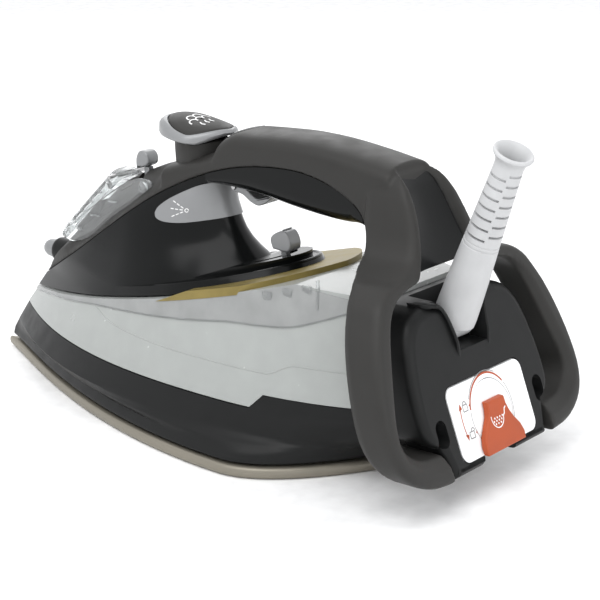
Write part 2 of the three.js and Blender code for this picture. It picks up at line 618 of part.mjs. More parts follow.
const BOOT_SLOT = [[-11.6, 55], [11.6, 55], [13, 70], [16, 90], [-16, 90], [-13, 70]];

function rearCover() {
  const back = -COVER_INSET - COVER_DEPTH;
  const cavity = heelSlab(coverOutline(3.2), back - 1, -COVER_INSET - 4.4);
  let cover = heelSlab(coverOutline(0), back, -COVER_INSET).subtract(cavity);
  for (const x of [-SCREW_X, SCREW_X]) {
    const boss = turned(rod(4.2, back + 1, -5), heelAxis(x, SCREW_AXIS_Z), 16);
    const bore = turned(rod(1.9, -30, 0), heelAxis(x, SCREW_AXIS_Z), 12);
    const oval = rounded(3.6, SCREW_Z - 5.6, SCREW_Z + 5.6, 3.5);
    const recess = oval.map((p) => new THREE.Vector2(p.x + x, p.y));
    cover = cover.add(boss).subtract(heelSlab(recess, -9, 5)).subtract(bore);
  }
  return cover
    .subtract(heelSlab(rounded(28.6, 17, 47.8, 4.5), -COVER_INSET - 1.6, 5))
    .subtract(heelSlab([[-13, 8], [17, 8], [13, 17.6], [-9, 17.6]], -9, 5))
    .subtract(heelSlab(BOOT_SLOT, -15.5, 10))
    .subtract(turned(rod(COLLECTOR_R + 0.6, -8, 20), heelAxis(0, COLLECTOR_Z), 28));
}

function labelPlate() {
  return heelSlab(rounded(28.2, 17.4, 47.4, 4.5), -COVER_INSET - 1.2, -COVER_INSET + 0.2)
    .subtract(turned(rod(COLLECTOR_R + 0.5, -8, 20), heelAxis(0, COLLECTOR_Z), 28));
}

const COVER_SCREW = [[0, -19], [1.5, -19], [1.5, -8.6], [3, -8.6], [3, -6.8], [0, -6.8]];

// Turning disc with its raised, flared grip; the grip's foot hangs clear of the label plate.
function collectorDisc() {
  const disc = turned(rod(COLLECTOR_R, -6.4, -COVER_INSET + 0.2), heelAxis(0, COLLECTOR_Z), 28);
  const right = [[6.4, 40], [7.4, 33], [12.6, 25], [13.4, 18]];
  const outline = [[-6.4, 40], ...right, [-12, 18], [-12.4, 23], [-7.4, 33]];
  const withinDisc = turned(rod(COLLECTOR_R - 1, -4, 4), heelAxis(0, COLLECTOR_Z), 28);
  const root = heelSlab(outline, -2.4, 0).intersect(withinDisc);
  return disc.add(root).add(heelSlab(outline, -0.8, 1.8));
}

const COLLECTOR_CUP = [[0, -16.6], [6, -16.6], [7.4, -15.4], [7.4, -6.9], [6, -6.9], [6, -14.6], [0, -14.6]];
const COLLECTOR_SOCKET = [[0, -18], [10.2, -18], [10.2, -7.4], [9.1, -7.4], [9.1, -17], [0, -17]];
const collectorAxis = heelAxis(0, COLLECTOR_Z);

const bootPlace = at(...BOOT_PIVOT).multiply(new THREE.Matrix4().makeRotationX(-BOOT_LEAN));
const BOOT_WALL = [[4.4, 3], [9.4, 3], [9.3, 14], [8.3, 32], [7.4, 46], [6.3, 74], [6.3, 79],
  [8.7, BOOT_LENGTH - 1.4], [8.5, BOOT_LENGTH], [7.6, BOOT_LENGTH], [4.9, 79], [4.4, 60], [4.4, 3]];

function cordBoot() {
  const body = turned(BOOT_WALL, bootPlace, 18);
  const barrel = solid(new THREE.CylinderGeometry(6, 6, 17, 18).rotateZ(Math.PI / 2).applyMatrix4(bootPlace));
  const passage = turned(rod(4.4, -10, 20), bootPlace, 16);
  const pin = new THREE.CylinderGeometry(2.1, 2.1, 40, 12).rotateZ(Math.PI / 2);
  const pinBore = solid(pin.applyMatrix4(bootPlace));
  let boot = body.add(barrel).subtract(passage).subtract(pinBore);
  for (let row = 0; row < 7; row++) {
    const height = 44 + row * 4.6;
    for (const turn of [0, Math.PI]) {
      const level = height + (turn ? 2.3 : 0);
      const cut = new THREE.BoxGeometry(14, 5, 1.1).translate(0, 7.2, level).rotateZ(turn + 0.6);
      boot = boot.subtract(solid(cut.applyMatrix4(bootPlace)));
    }
  }
  return boot;
}

function bootCradle() {
  const [, y, z] = BOOT_PIVOT;
  const block = new THREE.BoxGeometry(28, 8.4, 14.6).translate(0, y - 1.6, z - 4.2);
  const opening = new THREE.BoxGeometry(19.6, 30, 20).translate(0, y, z + 2.2);
  const wireHole = turned(rod(2.6, 40, 80), at(0, y - 1.6), 12);
  return solid(block).subtract(solid(opening)).subtract(crossPin(2.1, 40, [y, z])).subtract(wireHole);
}

const terminalBlock = () => solid(new THREE.BoxGeometry(11, 8, 13).translate(28, 124, 57));
const LOOM_PATH = [[0, 123.6, 53.2], [2, 123.6, 50], [10, 123.8, 48.6], [17, 124, 53.4], [22.1, 124, 54.4]];

function controlBoard() {
  let body = solid(new THREE.BoxGeometry(13, 44, 1.6).translate(0, 42, 128.4));
  for (const [width, length, y] of [[8, 9, 34], [5, 6, 52], [4, 4, 44]]) {
    body = body.add(solid(new THREE.BoxGeometry(width, length, 2.2).translate(0, y, 126.7)));
  }
  return body;
}

// ---- Materials and assembly --------------------------------------------------------------
const iron = new THREE.Group();
iron.name = "steam_iron";

const finish = (color, roughness, metalness = 0, opacity = 1) =>
  new THREE.MeshStandardMaterial({ color, roughness, metalness, opacity, transparent: opacity < 1 });

const skin = finish(0x484744, 0.6);
const gloss = finish(0x262828, 0.22);
const satinBlack = finish(0x2e2f2f, 0.45);
const clear = finish(0xbec2c0, 0.15, 0, 0.6);
const silver = finish(0x9a9c9e, 0.35, 0.4);
const gold = finish(0x96823c, 0.4, 0.6);
const white = finish(0xd8d8da, 0.45);
const orange = finish(0xbe5023, 0.5);
const steel = finish(0xb0b0b0, 0.3, 1);
const champagne = finish(0xa8a294, 0.35, 0.6);
const alloy = finish(0xa0a0a0, 0.5, 0.9);
const rubber = finish(0x222222, 0.8);
const brass = finish(0xb59a50, 0.35, 1);
const board = finish(0x2c6b3c, 0.6);

function add(name, body, material) {
  const mesh = new THREE.Mesh(geometryOf(body), material);
  mesh.name = name;
  iron.add(mesh);
}

add("soleplate", soleplate(), champagne);
add("heater_casting", heaterCasting(), alloy);
add("heating_element", swept(3.2, elementPath(), 36), steel);
const gasketOpening = plate(inset(CHAMBER, 5), 12, 15);
add("chamber_gasket", plate(inset(CHAMBER, 1), 12.6, 13.6).subtract(gasketOpening), rubber);
add("chamber_cover", plate(CHAMBER, 14, 15.6).subtract(turned(rod(2.4, 0, 40), at(0, KNOB_Y), 12)), steel);
add("thermal_fuse", crossPin(2.2, 16, [72, 15]), white);
add("thermostat_body", turned(THERMOSTAT_BODY, at(0, DIAL_Y), 20), brass);
add("thermostat_lever", thermostatLever(), silver);
add("skirt", skirt(), satinBlack);
add("water_tank", waterTank(), clear);
add("gold_dial_plate", dialPlate(), gold);
add("upper_shell", upperShell(), gloss);
add("column_collar", collar(), silver);
add("nozzle_housing", turned(NOZZLE_HOUSING, noseAxis, 24), satinBlack);
add("spray_nozzle", turned(NOZZLE_TIP, noseAxis, 20), silver);
add("handle_shell", handleShell(), skin);
add("grip_underside", gripUnderside(), gloss);
add("handle_rear_panel", rearPanel(), gloss);
add("boost_button_base", boostBase(), skin);
add("boost_button_rim", boostRim(), silver);
add("boost_button_pad", boostPad(), skin);
add("boost_plunger", turned(BOOST_PLUNGER, at(0, BOOST_Y), 12), white);
add("boost_pump", turned(BOOST_PUMP, at(0, BOOST_Y), 18), white);
add("boost_spring", springCoil(3.8, 0.35, 98.8, 112, 4, 0, BOOST_Y), steel);
add("steam_knob", steamKnob(), silver);
add("steam_valve_rod", turned(VALVE_ROD, at(0, KNOB_Y), 12), brass);
add("steam_valve_seat", turned(VALVE_SEAT, at(0, KNOB_Y), 12), brass);
add("filler_door", fillerDoor(), clear);
add("filler_door_pin", crossPin(1, 24, DOOR_HINGE), steel);
add("filler_neck", fillerNeck(), satinBlack);
add("spray_trigger", sprayTrigger(), silver);
add("spray_pump", turned(SPRAY_PUMP, at(0, SPRAY_Y), 16), white);
add("spray_plunger", turned(rod(2.8, 80, 96.5), at(0, SPRAY_Y), 12), white);
add("spray_tube", sprayTube(), clear);
add("indicator_lens", indicatorLens(), clear);
add("rear_cover", rearCover(), satinBlack);
add("label_plate", labelPlate(), white);
add("collector_grip", collectorDisc(), orange);
add("collector_cup", turned(COLLECTOR_CUP, collectorAxis, 18), white);
add("collector_seal", turned(tube(7.7, 8.7, -10, -7.4), collectorAxis, 18), rubber);
add("collector_socket", turned(COLLECTOR_SOCKET, collectorAxis, 18), steel);
add("cover_screw_left", turned(COVER_SCREW, heelAxis(-SCREW_X, SCREW_AXIS_Z), 12), steel);
add("cover_screw_right", turned(COVER_SCREW, heelAxis(SCREW_X, SCREW_AXIS_Z), 12), steel);
add("cord_boot", cordBoot(), white);
add("boot_pivot_pin", crossPin(1.8, 29, BOOT_PIVOT.slice(1)), steel);
add("boot_cradle", bootCradle(), satinBlack);
add("terminal_block", terminalBlock(), white);
add("wiring_loom", swept(1.6, LOOM_PATH, 14, 6), rubber);
add("control_board", controlBoard(), board);
add("trigger_pin", crossPin(1.1, 12.6, TRIGGER_HINGE), steel);
add("trigger_spring", springCoil(2.2, 0.35, 107.8, 113.4, 3, 0, 25), steel);

export default iron;
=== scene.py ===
# Looks of the steam iron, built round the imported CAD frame. Shapes are written in millimetres.
# X across, Y from the nose to the heel, Z up from the soleplate.
import json
import math

import bpy
import numpy as np
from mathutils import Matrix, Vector


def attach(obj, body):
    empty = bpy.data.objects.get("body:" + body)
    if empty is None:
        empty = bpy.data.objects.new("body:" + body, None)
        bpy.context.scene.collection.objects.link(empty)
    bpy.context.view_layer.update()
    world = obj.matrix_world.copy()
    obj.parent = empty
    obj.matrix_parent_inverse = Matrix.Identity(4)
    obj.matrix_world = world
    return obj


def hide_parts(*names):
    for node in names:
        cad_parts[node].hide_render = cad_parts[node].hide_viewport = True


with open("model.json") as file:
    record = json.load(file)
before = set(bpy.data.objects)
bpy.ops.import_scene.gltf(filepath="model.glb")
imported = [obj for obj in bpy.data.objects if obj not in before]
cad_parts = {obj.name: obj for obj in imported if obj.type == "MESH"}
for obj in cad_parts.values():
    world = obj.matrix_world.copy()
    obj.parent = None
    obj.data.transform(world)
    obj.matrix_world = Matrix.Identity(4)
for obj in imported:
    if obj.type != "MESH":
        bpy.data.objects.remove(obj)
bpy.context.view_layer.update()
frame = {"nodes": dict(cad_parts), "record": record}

MM = 0.001
SIDE_STEPS = 72  # points along one side of a plan outline
LEAN = 0.363  # rearward lean of the heel
HEEL_Y, HEEL_Z = 142.8, 47.0
COVER_FACE = -1.6  # the cover's face, out of the heel plane
SPINDLE_Y = 20.0  # thermostat axis
COLLECTOR_Z, COLLECTOR_R = 32.2, 14.2
SCREW_X, SCREW_Z = 36.8, 32.0
BOOT_PIVOT = (0.0, 125.2, 65.5)
BOOT_LEAN = 0.342
FAR = 260  # beyond the object on every side
HEEL_CUT = -21  # where the body ends, out of the heel plane
NOZZLE_Z = 58.6
BOOST_Y = -19
DOOR_PIN = (-39.5, 103.4)
TRIGGER_PIN = (9.5, 109.4)
CAP_CROWN = 6  # how far the boost cap falls from its ridge to its sides


# ---- Camera, light and floor ----
def added(name, data):
    thing = bpy.data.objects.new(name, data)
    bpy.context.scene.collection.objects.link(thing)
    return thing


def aimed(thing, direction):
    thing.rotation_mode = "QUATERNION"
    thing.rotation_quaternion = direction.to_track_quat("-Z", "Y")


def camera():
    target = Vector((0.0, 0.0432, 0.061))
    back = Vector((0.7472, 0.5985, 0.2890)).normalized()
    distance = 0.8
    data = bpy.data.cameras.new("camera")
    data.lens, data.sensor_width = 106.5, 36.0
    data.clip_start, data.clip_end = 0.05, 20
    eye = added("camera", data)
    eye.location = target + back * distance
    aimed(eye, -back)
    bpy.context.scene.camera = eye


def area_light(name, place, size, watts, aim=(0, 0.02, 0.06)):
    data = bpy.data.lights.new(name, "AREA")
    data.shape, data.size, data.size_y, data.energy = "RECTANGLE", size[0], size[1], watts
    lamp = added(name, data)
    lamp.location = place
    aimed(lamp, Vector(aim) - Vector(place))


def studio():
    world = bpy.data.worlds.new("studio")
    bpy.context.scene.world = world
    world.use_nodes = True
    backdrop = world.node_tree.nodes["Background"].inputs
    backdrop["Color"].default_value = (0.98, 0.985, 1.0, 1)
    backdrop["Strength"].default_value = 1.03
    area_light("key", (0.55, 0.10, 0.95), (0.9, 0.7), 5.0)
    area_light("rear", (0.15, 1.05, 0.55), (0.8, 0.6), 2.0)
    area_light("front", (-0.75, -0.65, 0.7), (0.8, 0.8), 3.5)
    bpy.context.scene.view_settings.view_transform = "Standard"
    mesh = bpy.data.meshes.new("floor")
    reach = 6.0
    corners = [(-reach, -reach, 0), (reach, -reach, 0), (reach, reach, 0), (-reach, reach, 0)]
    mesh.from_pydata(corners, [], [(0, 1, 2, 3)])
    floor = added("floor", mesh)
    mesh.materials.append(surface("floor_paper", (0.95, 0.95, 0.95), 0.8, grain=0.00002, grain_scale=300))


# ---- Materials ----
def surface(name, colour, rough, metal=0.0, grain=0.00003, grain_scale=2600, mottle=0.06, mottle_scale=90,
            stretch=(1, 1, 1), clear=0.0, specular=0.5):
    """A moulded, cast or brushed surface: clouded colour, uneven gloss and a fine grain in the bump."""
    mat = bpy.data.materials.new(name)
    mat.use_nodes = True
    tree = mat.node_tree
    nodes, links = tree.nodes, tree.links
    shader = nodes["Principled BSDF"]
    shader.inputs["Metallic"].default_value = metal
    shader.inputs["Transmission Weight"].default_value = clear
    shader.inputs["IOR"].default_value = 1.46
    shader.inputs["Specular IOR Level"].default_value = specular
    place = nodes.new("ShaderNodeTexCoord")
    mapping = nodes.new("ShaderNodeMapping")
    mapping.inputs["Scale"].default_value = stretch
    links.new(place.outputs["Object"], mapping.inputs["Vector"])

    def noise(scale, detail):
        texture = nodes.new("ShaderNodeTexNoise")
        texture.inputs["Scale"].default_value = scale
        texture.inputs["Detail"].default_value = detail
        links.new(mapping.outputs["Vector"], texture.inputs["Vector"])
        return texture.outputs["Fac"]

    cloud = noise(mottle_scale, 5)
    fine = noise(grain_scale, 3)
    tint = nodes.new("ShaderNodeValToRGB")
    low, high = tint.color_ramp.elements
    low.position, high.position = 0.3, 0.7
    low.color = [c * (1 - mottle) for c in colour] + [1]
    high.color = [min(c * (1 + mottle), 1) for c in colour] + [1]
    links.new(cloud, tint.inputs["Fac"])
    links.new(tint.outputs["Color"], shader.inputs["Base Color"])
    gloss = nodes.new("ShaderNodeMapRange")
    gloss.inputs["From Min"].default_value, gloss.inputs["From Max"].default_value = 0.3, 0.7
    gloss.inputs["To Min"].default_value, gloss.inputs["To Max"].default_value = rough * 0.85, rough * 1.15
    links.new(cloud, gloss.inputs["Value"])
    links.new(gloss.outputs["Result"], shader.inputs["Roughness"])
    bump = nodes.new("ShaderNodeBump")
    bump.inputs["Distance"].default_value = grain
    bump.inputs["Strength"].default_value = 1.0
    links.new(fine, bump.inputs["Height"])
    links.new(bump.outputs["Normal"], shader.inputs["Normal"])
    return mat


LOOKS = {name: surface(name, **look) for name, look in {
    "handle_skin": dict(colour=(0.028, 0.0272, 0.0255), rough=0.5, grain=0.00004, grain_scale=3200,
                        specular=0.28),
    "gloss_black": dict(colour=(0.004, 0.0045, 0.0045), rough=0.2, grain=0.000004, mottle_scale=40,
                        specular=0.2),
    "satin_black": dict(colour=(0.008, 0.0084, 0.0084), rough=0.42, grain=0.00002, grain_scale=3600,
                        specular=0.24),
    # Darker grey tint for the tank's upper band: painted shade for the shaded inside of the tank seen through
    # the clear plastic.
    "painted_shade_band": dict(colour=(0.42, 0.43, 0.425), rough=0.12, clear=0.35, grain=0.00001, mottle=0.08),
    "tank_smoke": dict(colour=(0.46, 0.48, 0.465), rough=0.24, clear=0.25, grain=0.000006, mottle=0.03),
    "clear_plastic": dict(colour=(0.92, 0.94, 0.94), rough=0.05, clear=0.92, grain=0.00001, mottle=0.02),
    "silver_plastic": dict(colour=(0.26, 0.265, 0.27), rough=0.34, metal=0.3, grain=0.000005,
                           grain_scale=5200, mottle=0.03),
    "gold_plastic": dict(colour=(0.24, 0.185, 0.055), rough=0.42, metal=0.4, grain=0.00002, mottle=0.15),
    "white_plastic": dict(colour=(0.93, 0.935, 0.94), rough=0.4, grain=0.00001),
    "mark_white": dict(colour=(0.85, 0.85, 0.85), rough=0.5, grain=0.00001),
    "mark_grey": dict(colour=(0.22, 0.22, 0.22), rough=0.5, grain=0.00001),
    "orange_plastic": dict(colour=(0.40, 0.066, 0.014), rough=0.45, grain=0.00002, mottle=0.08),
    "boot_rubber": dict(colour=(0.52, 0.525, 0.53), rough=0.5, grain=0.00003, grain_scale=2400),
    "rubber": dict(colour=(0.016, 0.016, 0.016), rough=0.75),
    "sole_metal": dict(colour=(0.25, 0.23, 0.188), rough=0.42, metal=0.5, grain=0.00001,
                       stretch=(1, 0.06, 1)),
    "cast_alloy": dict(colour=(0.35, 0.35, 0.35), rough=0.5, metal=0.9, grain=0.00012, grain_scale=900),
    "steel": dict(colour=(0.43, 0.43, 0.43), rough=0.3, metal=1.0, stretch=(1, 1, 0.1)),
    "brass": dict(colour=(0.46, 0.32, 0.08), rough=0.32, metal=1.0),
    "circuit_board": dict(colour=(0.025, 0.15, 0.045), rough=0.5, mottle=0.2, mottle_scale=700),
}.items()}


# ---- Outlines ----
def spline(points, steps):
    """A smooth curve through rows of numbers, evenly spaced in the rows' index."""
    p = np.array(points, float)
    last = len(p) - 1
    out = []
    for s in np.linspace(0, last, steps + 1):
        i = min(int(s), last - 1)
        w = s - i
        a, b, c, d = p[max(i - 1, 0)], p[i], p[i + 1], p[min(i + 2, last)]
        square, cube = 2 * a - 5 * b + 4 * c - d, 3 * b - 3 * c + d - a
        out.append((2 * b + (c - a) * w + square * w**2 + cube * w**3) / 2)
    return np.array(out)


def traced(points, steps):
    """A smooth curve as a list of plain points."""
    return [tuple(p) for p in spline(points, steps)]


def closed_curve(points, steps):
    return spline(points + points[:1], steps)[:-1]


def at(rows, x, k=1):
    """Reads column k of the rows where their first column reaches x."""
    return float(np.interp(x, [row[0] for row in rows], [row[k] for row in rows]))


def part_way(value, low, high):
    """How far value lies from low to high, kept between 0 and 1."""
    return min(max((value - low) / (high - low), 0), 1)


def form(nose, tail, half, snub=0.0, peak=0.62, nose_curve=1.7, nose_sharp=1.0, tail_curve=2.4, blunt=0.5):
    return dict(nose=nose, tail=tail, half=half, snub=snub, peak=peak, nose_curve=nose_curve,
                nose_sharp=nose_sharp, tail_curve=tail_curve, blunt=blunt)


def half_width(f, t):
    if t < f["peak"]:
        rise = 1 - (1 - t / f["peak"]) ** f["nose_curve"]
        return f["snub"] + (f["half"] - f["snub"]) * rise ** f["nose_sharp"]
    fall = 1 - ((t - f["peak"]) / (1 - f["peak"])) ** f["tail_curve"]
    return f["half"] * max(fall, 0) ** f["blunt"]


def width_at(f, y):
    return half_width(f, part_way(y, f["nose"], f["tail"]))


def inset(f, d):
    return {**f, "nose": f["nose"] + 1.8 * d, "tail": f["tail"] - d, "half": f["half"] - d,
            "snub": max(f["snub"] - d, 0)}


def plan_ring(f, z):
    """One closed plan outline as points; z is a height or a function of (x, y)."""
    right = []
    for i in range(SIDE_STEPS + 1):
        t = (1 - math.cos(math.pi * i / SIDE_STEPS)) / 2
        x = 0.0 if i in (0, SIDE_STEPS) else half_width(f, t)
        right.append((x, f["nose"] + (f["tail"] - f["nose"]) * t))
    outline = right + [(-x, y) for x, y in right[-2:0:-1]]
    height = z if callable(z) else (lambda x, y: z)
    return [(x, y, height(x, y)) for x, y in outline]


def mirrored(half):
    return [tuple(p) for p in half] + [(-p[0], p[1]) for p in reversed(list(half))]


def rounded_box(u0, v0, u1, v1, r, k=6):
    points = []
    corners = ((u1 - r, v0 + r, -90), (u1 - r, v1 - r, 0), (u0 + r, v1 - r, 90), (u0 + r, v0 + r, 180))
    for cu, cv, start in corners:
        for i in range(k + 1):
            a = math.radians(start + 90 * i / k)
            points.append((cu + r * math.cos(a), cv + r * math.sin(a)))
    return points


def shrink(outline, d):
    """Moves every point of a counter-clockwise outline inwards by d."""
    p = np.array(outline, float)
    ahead, behind = np.roll(p, -1, 0) - p, p - np.roll(p, 1, 0)
    unit = lambda v: v / np.maximum(np.linalg.norm(v, axis=1, keepdims=True), 1e-9)
    along = unit(unit(ahead) + unit(behind))
    bend = np.maximum((along * unit(ahead)).sum(1, keepdims=True), 0.5)
    return p + np.stack([-along[:, 1], along[:, 0]], 1) * d / bend


def counter_clockwise(outline):
    p = np.array(outline, float)
    area = (p[:, 0] * np.roll(p[:, 1], -1) - np.roll(p[:, 0], -1) * p[:, 1]).sum()
    return p if area > 0 else p[::-1]


# ---- Meshes ----
def mesh_object(name, points, faces):
    mesh = bpy.data.meshes.new(name)
    mesh.from_pydata([tuple(c * MM for c in p) for p in points], [], faces)
    mesh.validate()
    return added(name, mesh)


def outward(thing):
    """Turns the faces to the outside if the closed mesh came out inside out."""
    mesh = thing.data
    volume = 0.0
    for polygon in mesh.polygons:
        a = mesh.vertices[polygon.vertices[0]].co
        for i in range(1, len(polygon.vertices) - 1):
            b, c = (mesh.vertices[polygon.vertices[i + k]].co for k in (0, 1))
            volume += a.dot(b.cross(c))
    if volume < 0:
        mesh.flip_normals()
    return thing


def loft(name, rings, wrap=False):
    """Joins closed rings of equal length. Ends are capped, or joined to each other."""
    count = len(rings[0])
    points = [p for ring in rings for p in ring]
    faces = []
    spans = len(rings) if wrap else len(rings) - 1
    for r in range(spans):
        lower, upper = r * count, ((r + 1) % len(rings)) * count
        for i in range(count):
            j = (i + 1) % count
            faces.append((lower + i, lower + j, upper + j, upper + i))
    if not wrap:
        faces.append(tuple(reversed(range(count))))
        faces.append(tuple(range((len(rings) - 1) * count, len(rings) * count)))
    return outward(mesh_object(name, points, faces))


def slab(name, outline, low, high, place, soft=0.6, steps=3, soft_low=None):
    """A plate with softly rounded rims. place turns (u, v, w) into a point."""
    flat = counter_clockwise(outline)
    rings = []
    low_soft = soft if soft_low is None else soft_low
    for i in range(steps + 1):
        a = math.pi / 2 * i / steps
        rings.append((low_soft * (1 - math.sin(a)), low + low_soft * (1 - math.cos(a))))
    for i in range(steps + 1):
        a = math.pi / 2 * i / steps
        rings.append((soft * (1 - math.cos(a)), high - soft * (1 - math.sin(a))))
    return loft(name, [[place(u, v, w) for u, v in shrink(flat, d)] for d, w in rings])


def across(u, v, w):
    return (w, u, v)


def upright(u, v, w):
    return (u, v, w)


def heel_y(z, out=0.0):
    return HEEL_Y - (z - HEEL_Z) * math.tan(LEAN) + out / math.cos(LEAN)


def on_heel(u, v, w):
    return (u, heel_y(v, w), v)


def heel_axis(x, z):
    """Places a turned piece (across, up, along its axis) on the heel."""
    foot = (x, heel_y(z), z)
    c, s = math.cos(LEAN), math.sin(LEAN)
    return lambda a, b, h: (foot[0] + a, foot[1] - b * s + h * c, foot[2] + b * c + h * s)


def turned(name, profile, place, sides=48):
    """A turned piece: profile is (radius, height) round the local axis; a closed profile makes a tube."""
    tube = profile[0] == profile[-1]
    rows = profile[:-1] if tube else profile
    rings = []
    angles = [2 * math.pi * i / sides for i in range(sides)]
    for radius, height in rows:
        radius = max(radius, 0.01)
        rings.append([place(radius * math.cos(a), radius * math.sin(a), height) for a in angles])
    return loft(name, rings, wrap=tube)


def settle(thing):
    """Makes a thing's modifiers part of its mesh."""
    graph = bpy.context.evaluated_depsgraph_get()
    mesh = bpy.data.meshes.new_from_object(thing.evaluated_get(graph))
    thing.modifiers.clear()
    thing.data = mesh
    return thing


def joined(name, things):
    """Copies several things' meshes into one new thing and removes them."""
    points, faces = [], []
    for thing in things:
        start = len(points)
        points += [tuple(c / MM for c in v.co) for v in thing.data.vertices]
        faces += [tuple(start + i for i in p.vertices) for p in thing.data.polygons]
        bpy.data.objects.remove(thing)
    return mesh_object(name, points, faces)


def combine(thing, tool, operation="DIFFERENCE"):
    change = thing.modifiers.new("combine", "BOOLEAN")
    change.object, change.operation, change.solver = tool, operation, "EXACT"
    settle(thing)
    bpy.data.objects.remove(tool)
    return thing


def softened(thing, width, steps=2, angle=32):
    edge = thing.modifiers.new("edge", "BEVEL")
    edge.width, edge.segments, edge.limit_method = width * MM, steps, "ANGLE"
    edge.angle_limit = math.radians(angle)
    edge.use_clamp_overlap = True
    edge.miter_outer = "MITER_ARC"
    return settle(thing)


def moulded(thing, voxel, passes):
    """Fuses overlapping closed forms into one skin with soft fillets."""
    skin = thing.modifiers.new("skin", "REMESH")
    skin.mode, skin.voxel_size = "VOXEL", voxel * MM
    settle(thing)
    soft = thing.modifiers.new("soft", "SMOOTH")
    soft.factor, soft.iterations = 0.5, passes
    return settle(thing)


def piece(thing, slot, body="iron_body", look=None, stands_for=(), crease=35):
    """Gives a finished mesh its looks and the body it rides on, and hides the CAD nodes it stands for."""
    mesh = thing.data
    mesh.materials.clear()
    mesh.materials.append(LOOKS[look or slot])
    mesh.polygons.foreach_set("use_smooth", [True] * len(mesh.polygons))
    mesh.set_sharp_from_angle(angle=math.radians(crease))
    even = thing.modifiers.new("even", "WEIGHTED_NORMAL")
    even.keep_sharp = True
    settle(thing)
    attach(thing, body)
    if stands_for:
        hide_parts(*stands_for)


def stroke(points, width, closed=False):
    """A flat line of the given width along 2D points, as quads in 2D."""
    p = np.array(points, float)
    if closed:
        ahead, behind = np.roll(p, -1, 0), np.roll(p, 1, 0)
    else:
        ahead, behind = np.vstack([p[1:], p[-1:]]), np.vstack([p[:1], p[:-1]])
    along = ahead - behind
    along /= np.maximum(np.linalg.norm(along, axis=1, keepdims=True), 1e-9)
    side = np.stack([-along[:, 1], along[:, 0]], 1) * width / 2
    left, right = p + side, p - side
    count = len(p)
    quads = []
    for i in range(count if closed else count - 1):
        j = (i + 1) % count
        quads.append([left[i], right[i], right[j], left[j]])
    return quads


def marks(name, shapes, place, lift, thick):
    """Printed marks: flat 2D polygons laid on a surface as a thin film."""
    points, faces = [], []
    for shape in shapes:
        flat = counter_clockwise(shape)
        start, count = len(points), len(flat)
        points += [place(u, v, lift) for u, v in flat] + [place(u, v, lift + thick) for u, v in flat]
        faces.append(tuple(start + i for i in reversed(range(count))))
        faces.append(tuple(start + count + i for i in range(count)))
        for i in range(count):
            j = (i + 1) % count
            faces.append((start + i, start + j, start + count + j, start + count + i))
    return mesh_object(name, points, faces)


def white_marks(name, shapes, place, lift, body="iron_body", thick=0.12):
    piece(marks(name, shapes, place, lift, thick), "white_plastic", body, look="mark_white")


def arc(cu, cv, r, start, end, steps=24):
    angles = [math.radians(start + (end - start) * i / steps) for i in range(steps + 1)]
    return [(cu + r * math.cos(a), cv + r * math.sin(a)) for a in angles]


# ---- Sole group ----
SOLE = form(-152, 113, 67, peak=0.77, nose_curve=1.85, nose_sharp=1.1, tail_curve=1.9, blunt=0.95)


def soleplate():
    rows = [(2.4, 0.0), (1.2, 0.25), (0.35, 1.0), (0.0, 2.1), (0.0, 3.4), (0.3, 4.4), (1.0, 5.0), (2.0, 5.2)]
    plate = loft("soleplate_look", [plan_ring(inset(SOLE, d), z) for d, z in rows])
    tools = []
    for row in range(8):
        y = -112 + row * 22
        x = half_width(SOLE, (y + 152) / 265) - 11
        for sign in (-1, 1):
            profile = [(3.2, -0.5), (2.9, 0.0), (1.7, 0.9), (1.7, 6.5)]
            tools.append(turned("hole", profile, lambda a, b, h, x=sign * x, y=y: (x + a, y + b, h), 20))
    combine(plate, joined("holes", tools))
    piece(plate, "sole_metal", stands_for=["soleplate"])


SKIRT_ROWS = [  # height, nose, tail, half, peak, nose curve, nose sharpness, tail curve, bluntness
    (6.4, -149.1, 111.4, 65.4, 0.77, 1.85, 1.1, 1.9, 0.95),
    (11.0, -147.5, 115, 62.5, 0.76, 1.85, 1.1, 1.9, 0.95),
    (17.0, -143.5, 124, 57.5, 0.66, 2.4, 1.0, 1.9, 0.6),
    (27.0, -136.0, 140, 52.6, 0.63, 2.4, 1.0, 2.0, 0.55),
    (33.2, -131.0, 140, 50, 0.63, 2.4, 1.0, 2.0, 0.55),
]


def skirt_ring(z, inward=0.0, swell=0.0):
    nose, tail, half, peak, curve, sharp, tail_curve, blunt = (at(SKIRT_ROWS, z, k) for k in range(1, 9))
    f = form(nose, tail, half, peak=peak, nose_curve=curve, nose_sharp=sharp, tail_curve=tail_curve,
             blunt=blunt)
    ring = []
    for x, y, height in plan_ring(inset(f, inward), z):
        out = swell * part_way(y, -130, -60)
        ring.append((x + math.copysign(out, x) if abs(x) > 0.01 else x, y, height))
    return ring


def side_tool(outline):
    """A cutter right across the object from a (y, z) outline."""
    return loft("tool", [[(x, y, z) for y, z in counter_clockwise(outline)] for x in (-FAR, FAR)])


def cut(thing, outline, low, high, place=upright):
    """Cuts a straight-sided room into a thing."""
    return combine(thing, slab("room", outline, low, high, place, 0.01, 1))


def behind_heel(top):
    return side_tool([(heel_y(-40, HEEL_CUT), -40), (heel_y(top, HEEL_CUT), top), (300, top), (300, -40)])


